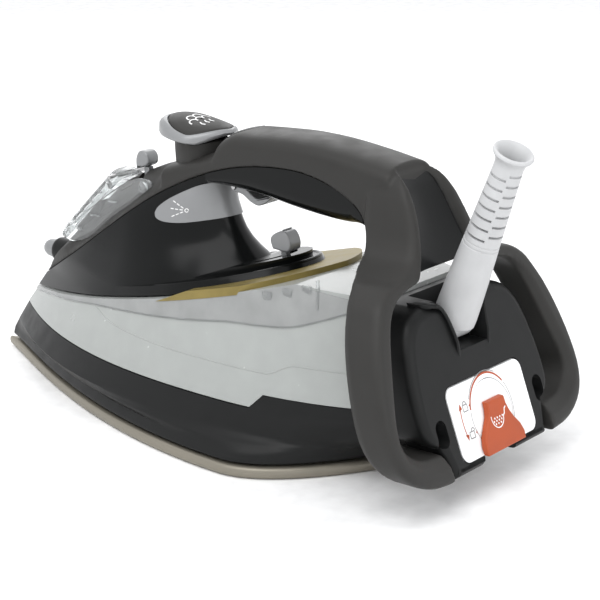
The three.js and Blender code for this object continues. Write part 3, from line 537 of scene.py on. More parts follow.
def skirt():
    seam = [(-260, 27.0), (56, 27.0), (62, 33.2), (260, 33.2), (260, -20), (-260, -20)]
    rows = [(6.4, -0.9), (6.6, -0.35), (7.2, -0.05), (8.2, 0), (9.6, 0), (11, 0.1), (12.2, 0.3), (13.2, 0.5),
            (13.9, 0.35), (14.5, 0.05), (15.2, -0.05)]
    rows += [(z, 0) for z in (16, 17, 19, 22, 25, 27, 29, 31, 33.2)]
    body = loft("skirt_look", [skirt_ring(z, max(-swell, 0), max(swell, 0)) for z, swell in rows])
    combine(body, side_tool(seam), "INTERSECT")
    combine(body, behind_heel(90))
    room = loft("room", [skirt_ring(z, 2.4) for z in np.linspace(4, 24.6, 8)])
    combine(room, side_tool([(-260, 0), (98, 0), (98, 60), (-260, 60)]), "INTERSECT")
    combine(body, room)
    piece(softened(body, 0.4, 2, 40), "satin_black", stands_for=["skirt"], crease=50)


# ---- Tank ----
def seam_arc(lift):
    """The seam between shell and tank, seen from the side."""
    a, b, c = (np.array(p) for p in ((-127.2, 37.5), (-28.5, 54.2), (70, 82.2)))
    out = []
    for s in np.linspace(0, 1, 41):
        y, z = (1 - s) ** 2 * a + 2 * s * (1 - s) * b + s * s * c
        out.append((y, z + lift))
    return out


# height, nose, half-width
TANK_ROWS = [(27.4, -136, 52), (40, -125, 48.5), (52, -114, 45.5), (64, -103, 43), (76, -93, 40.5),
             (92, -80, 35)]


def tank_form(z, d=0.0):
    f = form(at(TANK_ROWS, z), 140, at(TANK_ROWS, z, 2), peak=0.63, nose_curve=2.4, tail_curve=2.0,
             blunt=0.55)
    return inset(f, d)


def tank():
    outline = [(-260, 27.4), (56, 27.4), (62, 33.6), (260, 33.6), (260, 75), (72, 82)] + seam_arc(-0.4)[::-1]
    outline.append((-260, 37.1))
    shell = loft("water_tank_look", [plan_ring(tank_form(z), z) for z in np.linspace(27.4, 92, 16)])
    combine(shell, side_tool(outline), "INTERSECT")
    combine(shell, behind_heel(110))
    hollow = loft("hollow", [plan_ring(tank_form(z, 2.2), z) for z in np.linspace(29.6, 92, 14)])
    room = [(-260, 29.8), (56, 29.8), (62, 36), (102, 36), (102, 72), (70, 79.4)] + seam_arc(-2.2)[::-1]
    room.append((-260, 35.4))
    combine(hollow, side_tool(room), "INTERSECT")
    combine(shell, hollow)
    piece(softened(shell, 0.4), "clear_plastic", look="tank_smoke", stands_for=["water_tank"])


def tank_line(name, track, radius, look):
    """A raised moulding line on the tank's side; track is (y, z) along it, repeated on the far side."""
    things = []
    for sign in (-1, 1):
        centre = [Vector((sign * tank_skin(y, z, -radius * 0.4), y, z)) for y, z in spline(track, 80)]
        things.append(tube(name, centre, radius, 8))
    piece(joined(name, things), "clear_plastic", look=look)


def tube(name, centre, radius, sides=12):
    rings = []
    side = Vector((0, 0, 1))
    for i, point in enumerate(centre):
        ahead = centre[min(i + 1, len(centre) - 1)] - centre[max(i - 1, 0)]
        ahead.normalize()
        side = (side - ahead * side.dot(ahead)).normalized()
        other = ahead.cross(side)
        rings.append([tuple(point + radius * (side * math.cos(a) + other * math.sin(a)))
                      for a in (2 * math.pi * k / sides for k in range(sides))])
    return loft(name, rings)


def tank_skin(y, z, out=0.0):
    """The tank's half-width at a height and place, with how far outside it."""
    f = tank_form(z)
    t = part_way(y, f["nose"], f["tail"])
    return half_width(f, t) + out


def tank_band():
    """The clear lip that runs under the shell and widens round the dial plate; its darker grey tint is
    painted shade, standing for the shaded inside of the tank seen through it.
    """
    edge = [(-129, 35.2), (-104, 39.6), (-82.3, 43.2), (-50.9, 48.6), (-14.6, 53), (15.5, 57), (36.3, 60.4),
            (55.9, 62.2), (71, 64), (84.8, 68.6), (97, 73.4), (104, 76)]
    lower = traced(edge, 60)
    outline = lower + [(104, 78.4), (72, 81.8)] + seam_arc(-0.45)[::-1] + [(-135, 37.4)]
    band = loft("tank_band", [plan_ring(tank_form(z, -0.35), z) for z in np.linspace(27.4, 92, 16)])
    combine(band, side_tool(outline), "INTERSECT")
    inner = loft("inner", [plan_ring(tank_form(z, 1.2), z) for z in np.linspace(20, 100, 8)])
    combine(band, inner)
    piece(softened(band, 0.3), "clear_plastic", look="painted_shade_band")
    ribs = []
    for sign in (-1, 1):
        track = spline([(81, 85), (82.4, 80), (83.4, 73)], 12)
        centre = [Vector((sign * tank_skin(y, z, -0.1), y, z)) for y, z in track]
        ribs.append(tube("rib", centre, 0.8, 10))
        centre = [Vector((sign * tank_skin(y, z, 0.2), y, z)) for y, z in lower]
        ribs.append(tube("lip", centre, 0.45, 8))
    piece(joined("tank_band_ribs", ribs), "clear_plastic")


def dial_clips():
    """Small clips that hold the dial plate to the tank."""
    things = []
    for y in (58, 68, 77):
        for sign in (-1, 1):
            z = at(seam_arc(0), y) if y < 70 else 82.2 + (y - 70) * 0.3
            low = z - 5.4
            x = tank_skin(y, low + 2, 0.1)
            block = rounded_box(y - 2.4, low, y + 2.4, low + 3.6, 0.6, 3)
            place = lambda u, v, w, sign=sign, x=x: (sign * (x + w), u, v)
            things.append(slab("clip", block, -0.6, 0.7, place, 0.3, 2))
    piece(joined("dial_clips", things), "clear_plastic")


def gold_plate():
    """The dial plate: it follows the tank's edge and tapers to a tip in front."""
    crown = [p for p in seam_arc(2.2) if p[0] > 8]
    under = [p for p in seam_arc(-1.6) if p[0] > 3]
    plate = loft("gold_plate_look", [plan_ring(tank_form(z, -0.6), z) for z in np.linspace(40, 92, 18)])
    combine(plate, side_tool([(-8, 60.2)] + under + [(110, 80.6), (110, 84.4)] + crown[::-1]), "INTERSECT")
    limit = form(-140, 70, 44.6, peak=0.8, nose_curve=2, tail_curve=2.1, blunt=0.75)
    combine(plate, loft("limit", [plan_ring(limit, z) for z in (20, 140)]), "INTERSECT")
    rings = [plan_ring(inset(shell_form(z, BASE_ROWS, 2.4), 0.6), z) for z in np.linspace(34, 89, 12)]
    combine(plate, loft("opening", rings))
    piece(softened(plate, 0.35), "gold_plastic", stands_for=["gold_dial_plate"])


# ---- Upper shell ----
# Rows of height, nose, tail, half-width, width of the nose's flat and fullness of the front.
BASE_ROWS = [(34, -131, 61, 38.3, 0, 1.7), (50, -115, 60, 37.8, 3.5, 1.7), (62, -105, 58.5, 36.8, 9, 1.4),
             (72, -97, 55, 34.8, 11.5, 1.1), (78, -92.6, 51, 31.6, 12.5, 1.1), (90, -84, 43, 26, 13, 1.1)]
COLUMN_ROWS = [(34, -131, 44, 36, 0, 1.7), (50, -115, 41, 34, 3.5, 1.7), (60, -106.6, 38, 31, 8, 1.45),
               (66, -101.6, 35, 28, 10, 1.25), (72, -97, 29, 25, 11.5, 1.1), (76, -94, 23.6, 22.2, 12, 1.1),
               (80, -91, 17.8, 19.8, 12.7, 1.1), (84, -87.5, 13.2, 17.9, 13.1, 1.15),
               (88, -83.4, 9.8, 16.8, 13.6, 1.22), (92, -79, 7.4, 16.3, 14, 1.3),
               (100, -70, 3.6, 16, 14.5, 1.4), (108, -61, 1.6, 16, 15, 1.5), (124, -44, 1.4, 16, 15, 1.5)]


def shell_form(z, rows=COLUMN_ROWS, tail_curve=1.95):
    nose, tail, half, snub, curve = (at(rows, z, k) for k in range(1, 6))
    return form(nose, tail, half, snub=snub, nose_curve=curve, tail_curve=tail_curve)


def shell_half(y, z):
    """The shell's half-width: a waisted column at the back, one straight flank towards the nose."""
    f = shell_form(z)
    waisted = width_at(f, y)
    g = {**f, "tail": 60, "half": at([(34, 38.5), (50, 38), (62, 37), (72, 35), (108, 16)], z),
         "tail_curve": 2.4}
    flank = width_at(g, y)
    w = part_way(y, -46, -2)
    return flank + (waisted - flank) * w * w * (3 - 2 * w)


def shell_ring(z, grow=0.0):
    ring = []
    f = shell_form(z)
    for x, y, height in plan_ring(inset(f, -grow), z):
        extra = shell_half(y, z) - width_at(f, y)
        ring.append((x + math.copysign(extra, x) if abs(x) > 0.01 else x, y, height))
    return ring


def shell_loft(name, low=34, grow=0.0):
    levels = [z for z in np.linspace(34, 124, 46) if z >= low]
    return loft(name, [shell_ring(z, grow) for z in levels])


SKIN_EDGE = [(-119.6, 46), (-85.5, 64.5), (-53, 86), (-30.5, 101), (-8, 112.5), (10, 119), (28, 123),
             (48, 124.6), (62, 123.4), (74, 120), (84, 115), (89, 110.5), (91, 105)]
GRIP_UNDER = [(0, 110.4), (8, 110.2), (18, 109.6), (34, 108), (50, 105.8), (66, 104.2), (78, 103.8),
              (91, 105)]


def upper_shell():
    edge = [p for p in traced(SKIN_EDGE, 60) if p[0] < 6.6]
    outline = seam_arc(0.4) + [(110, 82.6), (110, 99.5), (7.2, 99.5), (6.4, 104), (6.4, 117)]
    outline += [(y, z - 0.25) for y, z in reversed(edge)] + [(-134, 37.9)]
    shell = shell_loft("upper_shell_look")
    base = loft("base", [plan_ring(shell_form(z, BASE_ROWS, 2.4), z) for z in np.linspace(34, 90, 20)])
    top = [(y, z + 4.8) for y, z in seam_arc(0)]
    combine(base, side_tool([(-60, 20)] + [(y, z) for y, z in top if y > -60] + [(80, 20)]), "INTERSECT")
    combine(shell, base, "UNION")
    tier = loft("tier", [plan_ring(form(-60, 45.4, 24.6), z) for z in (52, 96)])
    step = [(y, z + 3.4 * min((y + 5) / 26, 1)) for y, z in top if y > -5]
    combine(tier, side_tool([(-5, 40)] + step + [(80, 40)]), "INTERSECT")
    combine(shell, softened(tier, 0.9, 3), "UNION")
    combine(shell, side_tool(outline), "INTERSECT")
    slot = arc(0, SPINDLE_Y, 17.2, 90 - 60, 90 + 60) + arc(0, SPINDLE_Y, 12.8, 90 + 60, 90 - 60)
    cut(shell, slot, 75, 92)
    combine(shell, filler_shaft("shaft", 1.0))
    combine(shell, nozzle_bore())
    piece(softened(shell, 0.35, 2, 40), "gloss_black", stands_for=["upper_shell"])


def along_nose(a, b, h):
    return (a, h, NOZZLE_Z + b)


def nozzle_bore():
    return turned("bore", [(6.9, -120), (6.9, -92)], along_nose, 40)


def plunger_bore():
    return turned("bore", [(4.6, 90), (4.6, 140)], lambda a, b, h: (a, BOOST_Y + b, h), 32)


def filler_shaft(name, grow):
    half, front, back = 7 + grow, -89 - grow, -74 + grow
    outline = [(-half, front), (half, front), (half, back), (-half, back)]
    return slab(name, outline, 48, 200, upright, 0.01, 1)


def platform_rim():
    """The low gloss lip that frames the dial platform."""
    arcs = seam_arc(4.8)
    centre = []
    for y in list(np.linspace(-14, 40, 28)) + list(np.linspace(41, 52.6, 30)):
        z = at(arcs, y)
        f = shell_form(z, BASE_ROWS, 2.4)
        t = (y - f["nose"]) / (f["tail"] - f["nose"])
        if t < 0.9995:
            centre.append(Vector((half_width(f, t) - 1.1, y, z - 0.2)))
    centre += [Vector((-p.x, p.y, p.z)) for p in reversed(centre)]
    piece(tube("platform_rim", centre, 0.75, 10), "gloss_black")


def collar():
    upper = [(-27, 94.4), (-25.6, 97.2), (-20.6, 101.2), (-12, 106), (-4, 109.6), (5.4, 111)]
    lower = [(30, 111), (30, 98.6), (14, 96.4), (0, 93.6), (-12, 91.4), (-21, 91), (-25.8, 92.2), (-27, 94.4)]
    leaf = traced(upper, 24) + traced(lower, 34)[:-1]
    band = shell_loft("column_collar_look", low=82, grow=0.75)
    combine(band, side_tool(leaf), "INTERSECT")
    core = shell_loft("core", low=80, grow=-1.2)
    combine(band, core)
    piece(softened(band, 0.25, 2, 40), "silver_plastic", stands_for=["column_collar"])


# ---- Handle ----
SLOPE = [(-121, 44.6), (-102, 64), (-84, 82), (-62, 101.5), (-50, 107.4), (-36, 113.2)]
RIDGE = [(7.4, 132), (14, 136.2), (24, 137.3), (34, 137.9), (48, 138.4), (66, 137.6), (86, 135.2),
         (102, 132.6)]
GRIP_HALF = 16.4
# Along a leg from the notch to the foot: outer x, outer z, inner x, inner z.
LEG_PAIRS = [(15.4, 125.6, 9.8, 131.4), (17.6, 121, 10.5, 124.4), (19.4, 115.4, 11.6, 117.6),
             (21, 110, 12.8, 111), (23.6, 103, 15.2, 103), (28, 97.5, 17.8, 96), (38, 93, 22, 90),
             (47, 90.5, 30, 88.6), (54, 86, 39, 86.5), (59, 79, 45.5, 82.3), (63.5, 71, 50, 75.4),
             (67.5, 61, 54.4, 64.5), (70.5, 50, 58.8, 51.8), (71.8, 40, 62, 42), (71, 31, 62.6, 35.6),
             (67, 23, 60, 30.4), (60, 17.5, 54, 26.6), (50, 14, 47, 25), (38, 13, 39, 24.5)]
NECK_FRONT = [(86, 106), (88, 103), (92, 98.4), (98, 96.6), (104, 94.5), (110, 92), (131, 90)]  # z, y


ARCH_TOP = [(-26, 116.4), (-14, 120.2), (-2, 124), (5, 127.3)] + traced(RIDGE, 40)


def arch_top(x, y):
    crown = 1 - (1 - min(abs(x) / GRIP_HALF, 1) ** 2.6) ** (1 / 2.6)
    ridge = at(ARCH_TOP, y)
    return ridge - crown * at([(-26, 6), (6, 8.5)], y)


def handle_arch():
    lower = [(-26, 103.5)] + [p for p in traced(SKIN_EDGE, 60) if p[0] > -25]
    rings = []
    for k in range(-12, 13):
        x = GRIP_HALF * math.sin(math.pi / 2 * k / 12)
        ring = [(x, y, arch_top(x, y)) for y, _ in ARCH_TOP]
        rings.append([(x, 97, 107)] + [(x, y, z) for y, z in reversed(lower)] + ring + [(x, 104, 122)])
    return loft("arch", rings)


HOOD_SPINE = SLOPE + [(-2, 124), (4, 125.4)]
HOOD_EDGE = 12.5  # where the hood's crown turns into its flank
HOOD_FALL = [(-119, 0), (-105, 3), (-95, 6), (-86, 10), (-76, 15), (-63, 16), (-49, 13.5), (-36, 9), (-24, 4),
             (-10, 2.5), (4, 4)]


def hood_top(x, y):
    ridge = at(HOOD_SPINE, y)
    fall = at(HOOD_FALL, y)
    if abs(x) <= HOOD_EDGE:
        return ridge - fall * (x / HOOD_EDGE) ** 2
    edge = at(SKIN_EDGE, y)
    share = min((abs(x) - HOOD_EDGE) / max(shell_half(y, edge) - HOOD_EDGE, 0.5), 1)
    return (ridge - fall) * (1 - share) + (edge + 0.6) * share


def hood():
    """The skin over the nose, from the toe up to the grip's saddle: a crown with falling flanks."""
    lower = [p for p in traced(SKIN_EDGE, 90) if p[0] < 3]
    rings = []
    for x in np.linspace(-34, 34, 45):
        top = [(x, y, max(hood_top(x, y), z + 0.4)) for y, z in lower]
        rings.append([(x, y, z) for y, z in reversed(lower)] + top)
    cover = loft("hood", rings)
    return combine(cover, shell_loft("flanks", grow=0.15), "INTERSECT")


def leg_rear(z):
    if z < 112:
        return heel_y(z)
    return at([(112, heel_y(112)), (119, 114.8), (124.5, 111), (128.5, 106.8), (131, 103.4)], z)


def leg_front(x, z):
    neck = at(NECK_FRONT, z)
    leg = heel_y(z, -18)
    w = part_way(x, 22, 48)
    w = w * w * (3 - 2 * w)
    return neck * (1 - w) + leg * w


def leg(name, sign):
    rings = []
    for ox, oz, ix, iz in spline(LEG_PAIRS, 90):
        length = math.hypot(ix - ox, iz - oz)
        depth = leg_rear((oz + iz) / 2) - leg_front((ox + ix) / 2, (oz + iz) / 2)
        k = min(1.0, length / 11)
        section = [(0, 4), (0.4 * k, 1.9), (1.6 * k, 0.5), (3.4 * k, 0), (length - 4.6 * k, 0),
                   (length - 3.8 * k, 0.3), (length - 0.5 * k, 2.8), (length, 3.6), (length, depth - 2.5),
                   (length - 0.8 * k, depth - 0.7), (length - 2.6 * k, depth), (4.5 * k, depth),
                   (1.4 * k, depth - 1.4), (0, depth - 4.5)]
        ring = []
        for s, d in section:
            x, z = ox + (ix - ox) * s / length, oz + (iz - oz) * s / length
            ring.append((sign * x, leg_rear(z) - d, z))
        rings.append(ring)
    return loft(name, rings)


def neck_core():
    rings = []
    for z in np.linspace(90.5, 129, 14):
        w = at([(90.5, 20), (97.5, 22.5), (103, 20.5), (110, 18), (117, 16.6), (129, 14.5)], z)
        rear = at([(90.5, 119.4), (94, 117.6), (116, 108.4), (129, 103.6)], z)
        front = at(NECK_FRONT, z)
        rings.append([(x, y, z) for x, y in rounded_box(-w, front, w, rear, 2.5, 3)])
    return loft("core", rings)


def handle():
    skin = joined("handle_look", [handle_arch(), hood(), leg("leg_near", 1), leg("leg_far", -1), neck_core()])
    moulded(skin, 0.8, 4)
    combine(skin, filler_shaft("shaft", 1.0))
    combine(skin, plunger_bore())
    combine(skin, nozzle_bore())
    cut(skin, [(-7, -50.8), (7, -50.8), (7, -46.2), (-7, -46.2)], 83, 140)  # room for the steam control
    piece(skin, "handle_skin", stands_for=["handle_shell"], crease=60)


def grip_underside():
    top = spline(SKIN_EDGE, 80)
    under = spline(GRIP_UNDER, 60)
    half = 15.5
    rings = []
    for y in np.linspace(1.0, 89.4, 54):
        zt = at(top[:60], y) if y < 84 else at([(84, 115), (89, 110.5), (91, 105)], y)
        zb = at(under, y)
        zt -= 0.3
        depth = min(8.0, (zt - zb) * 0.6)
        ring = [(half, y, zt), (-half, y, zt)]
        for k in range(19):
            a = math.pi * k / 18
            u = -math.copysign(abs(math.cos(a)) ** (2 / 2.5), math.cos(a))
            v = math.sin(a) ** (2 / 2.5)
            ring.append((half * u, y, zb + depth - depth * v))
        rings.append(ring)
    body = loft("grip_underside_look", rings)
    cut(body, [(-6.4, 4), (6.4, 4), (6.4, 34), (-6.4, 34)], 90, 115)  # room for the trigger
    piece(softened(body, 0.4, 2, 45), "gloss_black", stands_for=["grip_underside"])


def rear_panel():
    """The dark valley between the two rear edges of the neck."""
    rings = []
    for z in np.linspace(92.2, 129.4, 24):
        edge = at([(90, 19.4), (100, 15.4), (112, 12.1), (124, 10.1), (132, 9.6)], z) + 1.2
        crease = at([(92.2, 120.4), (94, 119.8), (116, 110.5), (124, 106.6), (129.4, 100.5)], z)
        rim = leg_rear(z) - 3.4
        low = min(rim, crease) - 3
        rings.append([(edge, rim, z), (0.0, crease, z), (-edge, rim, z), (-edge, low, z), (edge, low, z)])
    panel = loft("handle_rear_panel_look", rings)
    piece(softened(panel, 0.6, 3, 20), "gloss_black", stands_for=["handle_rear_panel"])


# ---- Boost button ----
CAP = form(-36.6, 5, 17.2, snub=3, peak=0.6, nose_curve=2.4, nose_sharp=0.75, tail_curve=1.6, blunt=0.8)
CAP_RIDGE = spline([(-44, 132.6), (-39, 134), (-34.5, 136.8), (-27, 138.4), (-18, 138.1), (6, 134.0),
                    (14, 132.6)], 60)


def cap_top(x, y):
    return at(CAP_RIDGE, y) - CAP_CROWN * (x / CAP["half"]) ** 2


def cap_low(y):
    return at([(-39, 129.8), (-6, 127.8), (3, 131.6), (10, 131.8)], y)


def crowned(name, rows):
    """Rings on the cap's plan: each row is (inset, part of the way from the low face to the top, lift)."""
    rings = []
    for d, way, lift in rows:
        height = lambda x, y: cap_low(y) + (cap_top(x, y) - cap_low(y)) * way + lift
        rings.append(plan_ring(inset(CAP, d), height))
    return loft(name, rings)


def boost_button():
    rows = [(2.6, 0, 0), (0.9, 0, 0.1), (0.2, 0, 0.6), (0, 0, 1.3), (0.1, 1, -1.5), (0.5, 1, -0.6),
            (1.2, 1, -0.15), (1.9, 1, -0.1), (2.2, 1, -0.35), (2.3, 1, -1.3)]
    rim = crowned("boost_rim_look", rows)
    deep = lambda x, y: cap_top(x, y) - 2.4
    cavity = [plan_ring(inset(CAP, 3.2), 110)] + [plan_ring(inset(CAP, d), deep) for d in (3.2, 7, 11)]
    combine(rim, loft("cavity", cavity))
    piece(rim, "silver_plastic", "boost_button", stands_for=["boost_button_rim", "boost_plunger"], crease=50)
    rows = [(11, 1, -1.5), (7, 1, -1.5), (2.4, 1, -1.5), (2.5, 1, -0.5), (2.9, 1, -0.12), (4, 1, 0.05),
            (7, 1, 0.15), (11, 1, 0.2)]
    pad = crowned("boost_pad_look", rows)
    piece(pad, "handle_skin", "boost_button", stands_for=["boost_button_pad"], crease=50)
    neck = lambda x, y: at([(-36, 104), (-2, 118)], y)
    rings = [plan_ring(inset(CAP, 5.0), neck), plan_ring(inset(CAP, 4.6), 116),
             plan_ring(inset(CAP, 4.3), 124)]
    rings += [plan_ring(inset(CAP, d), lambda x, y: cap_top(x, y) - 6.4) for d in (4.2, 7, 11)]
    base = loft("boost_base_look", rings)
    combine(base, plunger_bore())
    piece(base, "handle_skin", stands_for=["boost_button_base"])


def status_lens():
    """The thin dark crescent across the grip behind the boost button."""
    outline = arc(0, 5, 14.2, 28, 152, 24) + arc(0, 5, 13.1, 152, 28, 24)
    place = lambda u, v, w: (u, v, arch_top(u, v) + w)
    lens = slab("indicator_lens_look", outline, -1.2, 0.12, place, 0.2, 2)
    piece(lens, "clear_plastic", look="gloss_black", stands_for=["indicator_lens"])


def cloud_marks():
    """A generic steam cloud: two rows of open puffs."""
    shapes = []
    for v, count in ((3.2, 2), (-0.4, 3)):
        for k in range(count):
            shapes += stroke(arc((k - (count - 1) / 2) * 4.2, v, 2.1, -15, 195, 14), 0.6)
    return shapes


def boost_marks():
    centre_x, centre_y = 2.5, -13.5
    place = lambda u, v, w: (centre_x + u, centre_y - v, cap_top(centre_x + u, centre_y - v) + 0.14 + w)
    tails = [stroke([(-3 + 3 * k, -3), (-2.3 + 3 * k, -4.6), (-3 + 3 * k, -6.2)], 0.6) for k in range(3)]
    shapes = cloud_marks() + [q for t in tails for q in t]
    white_marks("boost_marks", shapes, place, 0, "boost_button")


# ---- Nose controls ----
def steam_control():
    pivot_y, pivot_z = -48.5, 96.5
    cap_line = [(-4.8, 12), (2.2, 14.6), (3, 18.4), (0.8, 21.0), (-3, 20.8), (-5.0, 17)]
    outline = [(pivot_y + u, pivot_z + v) for u, v in closed_curve(cap_line, 30)]
    cap = slab("steam_knob_cap", outline, -3.9, 3.9, across, 1.1, 4)
    stem = slab("stem", rounded_box(-1.6, -0.9, 1.6, 13.5, 0.4, 2), -1.6, 1.6,
                lambda u, v, w: (w, pivot_y + u, pivot_z + v), 0.3, 2)
    knob = joined("steam_knob_look", [cap, stem])
    piece(knob, "silver_plastic", "steam_control", stands_for=["steam_knob"])
    panel_y = -55.5
    place = lambda u, v, w: (u, panel_y + v, hood_top(u, panel_y + v) + 0.35 + w)
    panel = slab("steam_icon_panel", rounded_box(-7.5, -4.6, 7.5, 3.6, 1.2), -0.2, 0.35, place, 0.2, 2)
    piece(panel, "handle_skin")
    waves = [[(u + 0.6 * math.sin(t * 1.6), -3 + t) for t in np.linspace(0, 5, 9)] for u in (-3.4, 0, 3.4)]
    shapes = [q for wave in waves for q in stroke(wave, 0.4)]
    white_marks("steam_marks", shapes, place, 0.36)


def filler_door():
    outer = [(-98.8, 74.4), (-95.8, 72.2), (-94, 73.1), (-66, 99.8), (-62.6, 102.3), (-60.9, 104),
             (-61.4, 106.4), (-63.4, 107.4), (-66.5, 107.2), (-85.5, 89.4), (-98, 77.2)]
    bend = lambda u, v, w: (w, u, v - 5 * (w / 12.5) ** 2)

    def curved_slab(name, outline, half, steps=16):
        flat = counter_clockwise(outline)
        rings = []
        for k in range(steps + 1):
            w = half * math.sin(math.pi * (k / steps - 0.5))
            thin = 1.3 * (1 - math.sqrt(max(1 - (w / half) ** 6, 0)))
            rings.append([bend(u, v, w) for u, v in shrink(flat, thin)])
        return loft(name, rings)

    lid = curved_slab("filler_door_look", outer, 11.3)
    inside = [(-92.6, 69.3), (-65, 96.4), (-68, 103.0), (-85, 87), (-93.8, 78.9)]
    combine(lid, curved_slab("hollow", inside, 9.4))
    ribs = []
    for y, z in ((-90.4, 81.5), (-84.4, 87.0), (-78.4, 92.5), (-72.4, 98.0)):
        ribs.append(curved_slab("rib", rounded_box(y - 0.5, z - 1.4, y + 0.5, z + 2.2, 0.3, 2), 9.2))
    lid = joined("filler_door_look", [lid] + ribs)
    piece(lid, "clear_plastic", "filler_door", stands_for=["filler_door"])


def door_cheeks():
    """Clear fixed cheeks that stand beside the filler door and end in its round pivots."""
    upper = [(-94, 73.6), (-91.4, 76), (-76.4, 87.4), (-64, 96.2), (-51.7, 103.8), (-43, 107), (-37, 107),
             (-34, 104.6)]
    under = [(-36, 101.4), (-49, 92.4), (-63, 82.4), (-76, 73.4), (-88, 69.4), (-94, 70.6)]
    outline = traced(upper, 28) + traced(under, 20)
    things = []
    for sign in (-1, 1):
        place = lambda u, v, w, sign=sign: (sign * w, u, v)
        cheek = slab("cheek", outline, 11.8, 13.4, place, 0.5, 3)
        things.append(cheek)
        pivot = [(0, 13.0), (2.9, 13.0), (2.9, 14.0), (2.5, 14.5), (1.4, 14.6), (1.2, 14.2), (0, 14.2)]
        things.append(turned("pivot", pivot,
                             lambda a, b, h, sign=sign: (sign * h, DOOR_PIN[0] + a, DOOR_PIN[1] + b), 28))
        for y, z in ((-84, 76.6), (-72, 85), (-60, 93.6)):
            step = rounded_box(y - 3.4, z - 0.5, y + 3.4, z + 0.5, 0.4, 2)
            things.append(slab("step", step, 13.2, 14.1, place, 0.3, 2))
    piece(joined("door_cheeks", things), "clear_plastic")


def nozzle():
    housing = [(2.2, -109), (2.2, -96), (6.3, -96), (6.4, -109.6), (6.1, -111.2), (5.4, -112), (4.9, -111.8),
               (4.8, -109), (2.2, -109)]
    piece(turned("nozzle_housing_look", housing, along_nose), "satin_black",
          stands_for=["nozzle_housing"])
    tip = [(0.6, -109.4), (4.6, -109.4), (4.6, -115.4), (4.3, -117.6), (3.4, -119.5), (2.0, -120.4),
           (0.9, -120.6), (0.6, -120), (0.6, -109.4)]
    piece(turned("spray_nozzle_look", tip, along_nose), "silver_plastic",
          stands_for=["spray_nozzle"])


def trigger():
    line = [(8, 107.2), (14, 106.4), (19, 103.6), (23.5, 102.6), (28, 104.6), (31, 107.6), (28, 107.4),
            (23, 105.8), (19, 107.6), (14, 111), (9.5, 112), (7.2, 110)]
    blade = slab("spray_trigger_look", closed_curve(line, 72), -5.5, 5.5, across, 0.7, 4)
    combine(blade, turned("bore", [(1.4, -20), (1.4, 20)],
                          lambda a, b, h: (h, TRIGGER_PIN[0] + a, TRIGGER_PIN[1] + b), 20))
    cut(blade, rounded_box(-2.9, 22, 2.9, 28.4, 1), 104.4, 118)  # room for the spring
    piece(blade, "silver_plastic", "spray_trigger", stands_for=["spray_trigger"])


def dial_lever():
    line = [(30.4, 83.6), (39.2, 83.4), (40.8, 87.4), (38, 92.2), (33.4, 91.8), (29.2, 88.4)]
    thumb = slab("thumb", closed_curve(line, 48), -4.1, 4.1, across, 0.9, 4)
    stem = slab("stem", rounded_box(-1.5, 33.4, 1.5, 36.6, 0.4, 2), 73, 85, upright, 0.3, 2)
    ridges = []
    for k in range(4):
        y, z = 31.0 + k * 1.6, 89.7 + k * 1.0
        ridges.append(slab("ridge", rounded_box(-0.3, -0.3, 0.3, 0.5, 0.2, 2), -3.2, 3.2,
                           lambda u, v, w, y=y, z=z: (w, y + u, z + v), 0.2, 1))
    lever = joined("dial_lever_look", [thumb, stem] + ridges)
    piece(lever, "silver_plastic", "thermostat_dial", stands_for=["thermostat_lever"])


def spray_marks():
    """A generic spray sign on the near side of the collar, repeated on the far side."""
    lines = [stroke(arc(0, 0, 0.8, 0, 330, 12), 0.35)]
    for angle in (150, 178, 206):
        for start in (1.8, 4.0, 6.2):
            a = math.radians(angle)
            lines.append(stroke([(s * math.cos(a), s * math.sin(a)) for s in (start, start + 1.5)], 0.42))
    shapes = [q for line in lines for q in line]
    for name, sign in (("spray_marks_near", 1), ("spray_marks_far", -1)):
        def place(u, v, w, sign=sign):
            y, z = -10.6 + u, 97.2 + v
            return (sign * (shell_half(y, z) + 0.8 + w), y, z)
        white_marks(name, shapes, place, 0)


# ---- Heel ----
COVER = [(26, 79.2), (35, 76.5), (41, 70), (44.4, 61), (46.6, 50), (47.4, 40), (46.6, 33), (43.6, 28.6),
         (38.9, 26.2), (35, 12.6)]


def disc_room(gap):
    return turned("room", [(COLLECTOR_R + gap, -8), (COLLECTOR_R + gap, 20)], heel_axis(0, COLLECTOR_Z), 72)


def cover():
    side = traced(COVER[:-1], 40) + [(38.6, 25.6), (35.2, 13.2), (34.6, 12.6)]
    outline = mirrored(side)
    body = slab("rear_cover_look", outline, -20.4, COVER_FACE, on_heel, 4.2, 6, soft_low=0.3)
    hollow = slab("hollow", mirrored([(38, 52), (40, 48), (40.4, 40), (34, 34)]), -30, -7, on_heel, 0.5, 1)
    combine(body, hollow)
    slot = mirrored([(10.6, 59), (11.4, 64), (13, 71), (16.4, 92)])
    cut(body, slot, -17, 12, on_heel)
    cut(body, rounded_box(-28.7, 17, 28.7, 47.9, 4.9), COVER_FACE - 1.5, 9, on_heel)
    cut(body, [(-13, 8), (17, 8), (13, 17.6), (-9, 17.6)], -9, 9, on_heel)
    combine(body, disc_room(0.5))
    for x in (-SCREW_X, SCREW_X):
        cut(body, rounded_box(x - 3.6, SCREW_Z - 5.6, x + 3.6, SCREW_Z + 5.6, 3.5), -9, 9, on_heel)
    piece(softened(body, 0.45, 2, 40), "satin_black", stands_for=["rear_cover"])


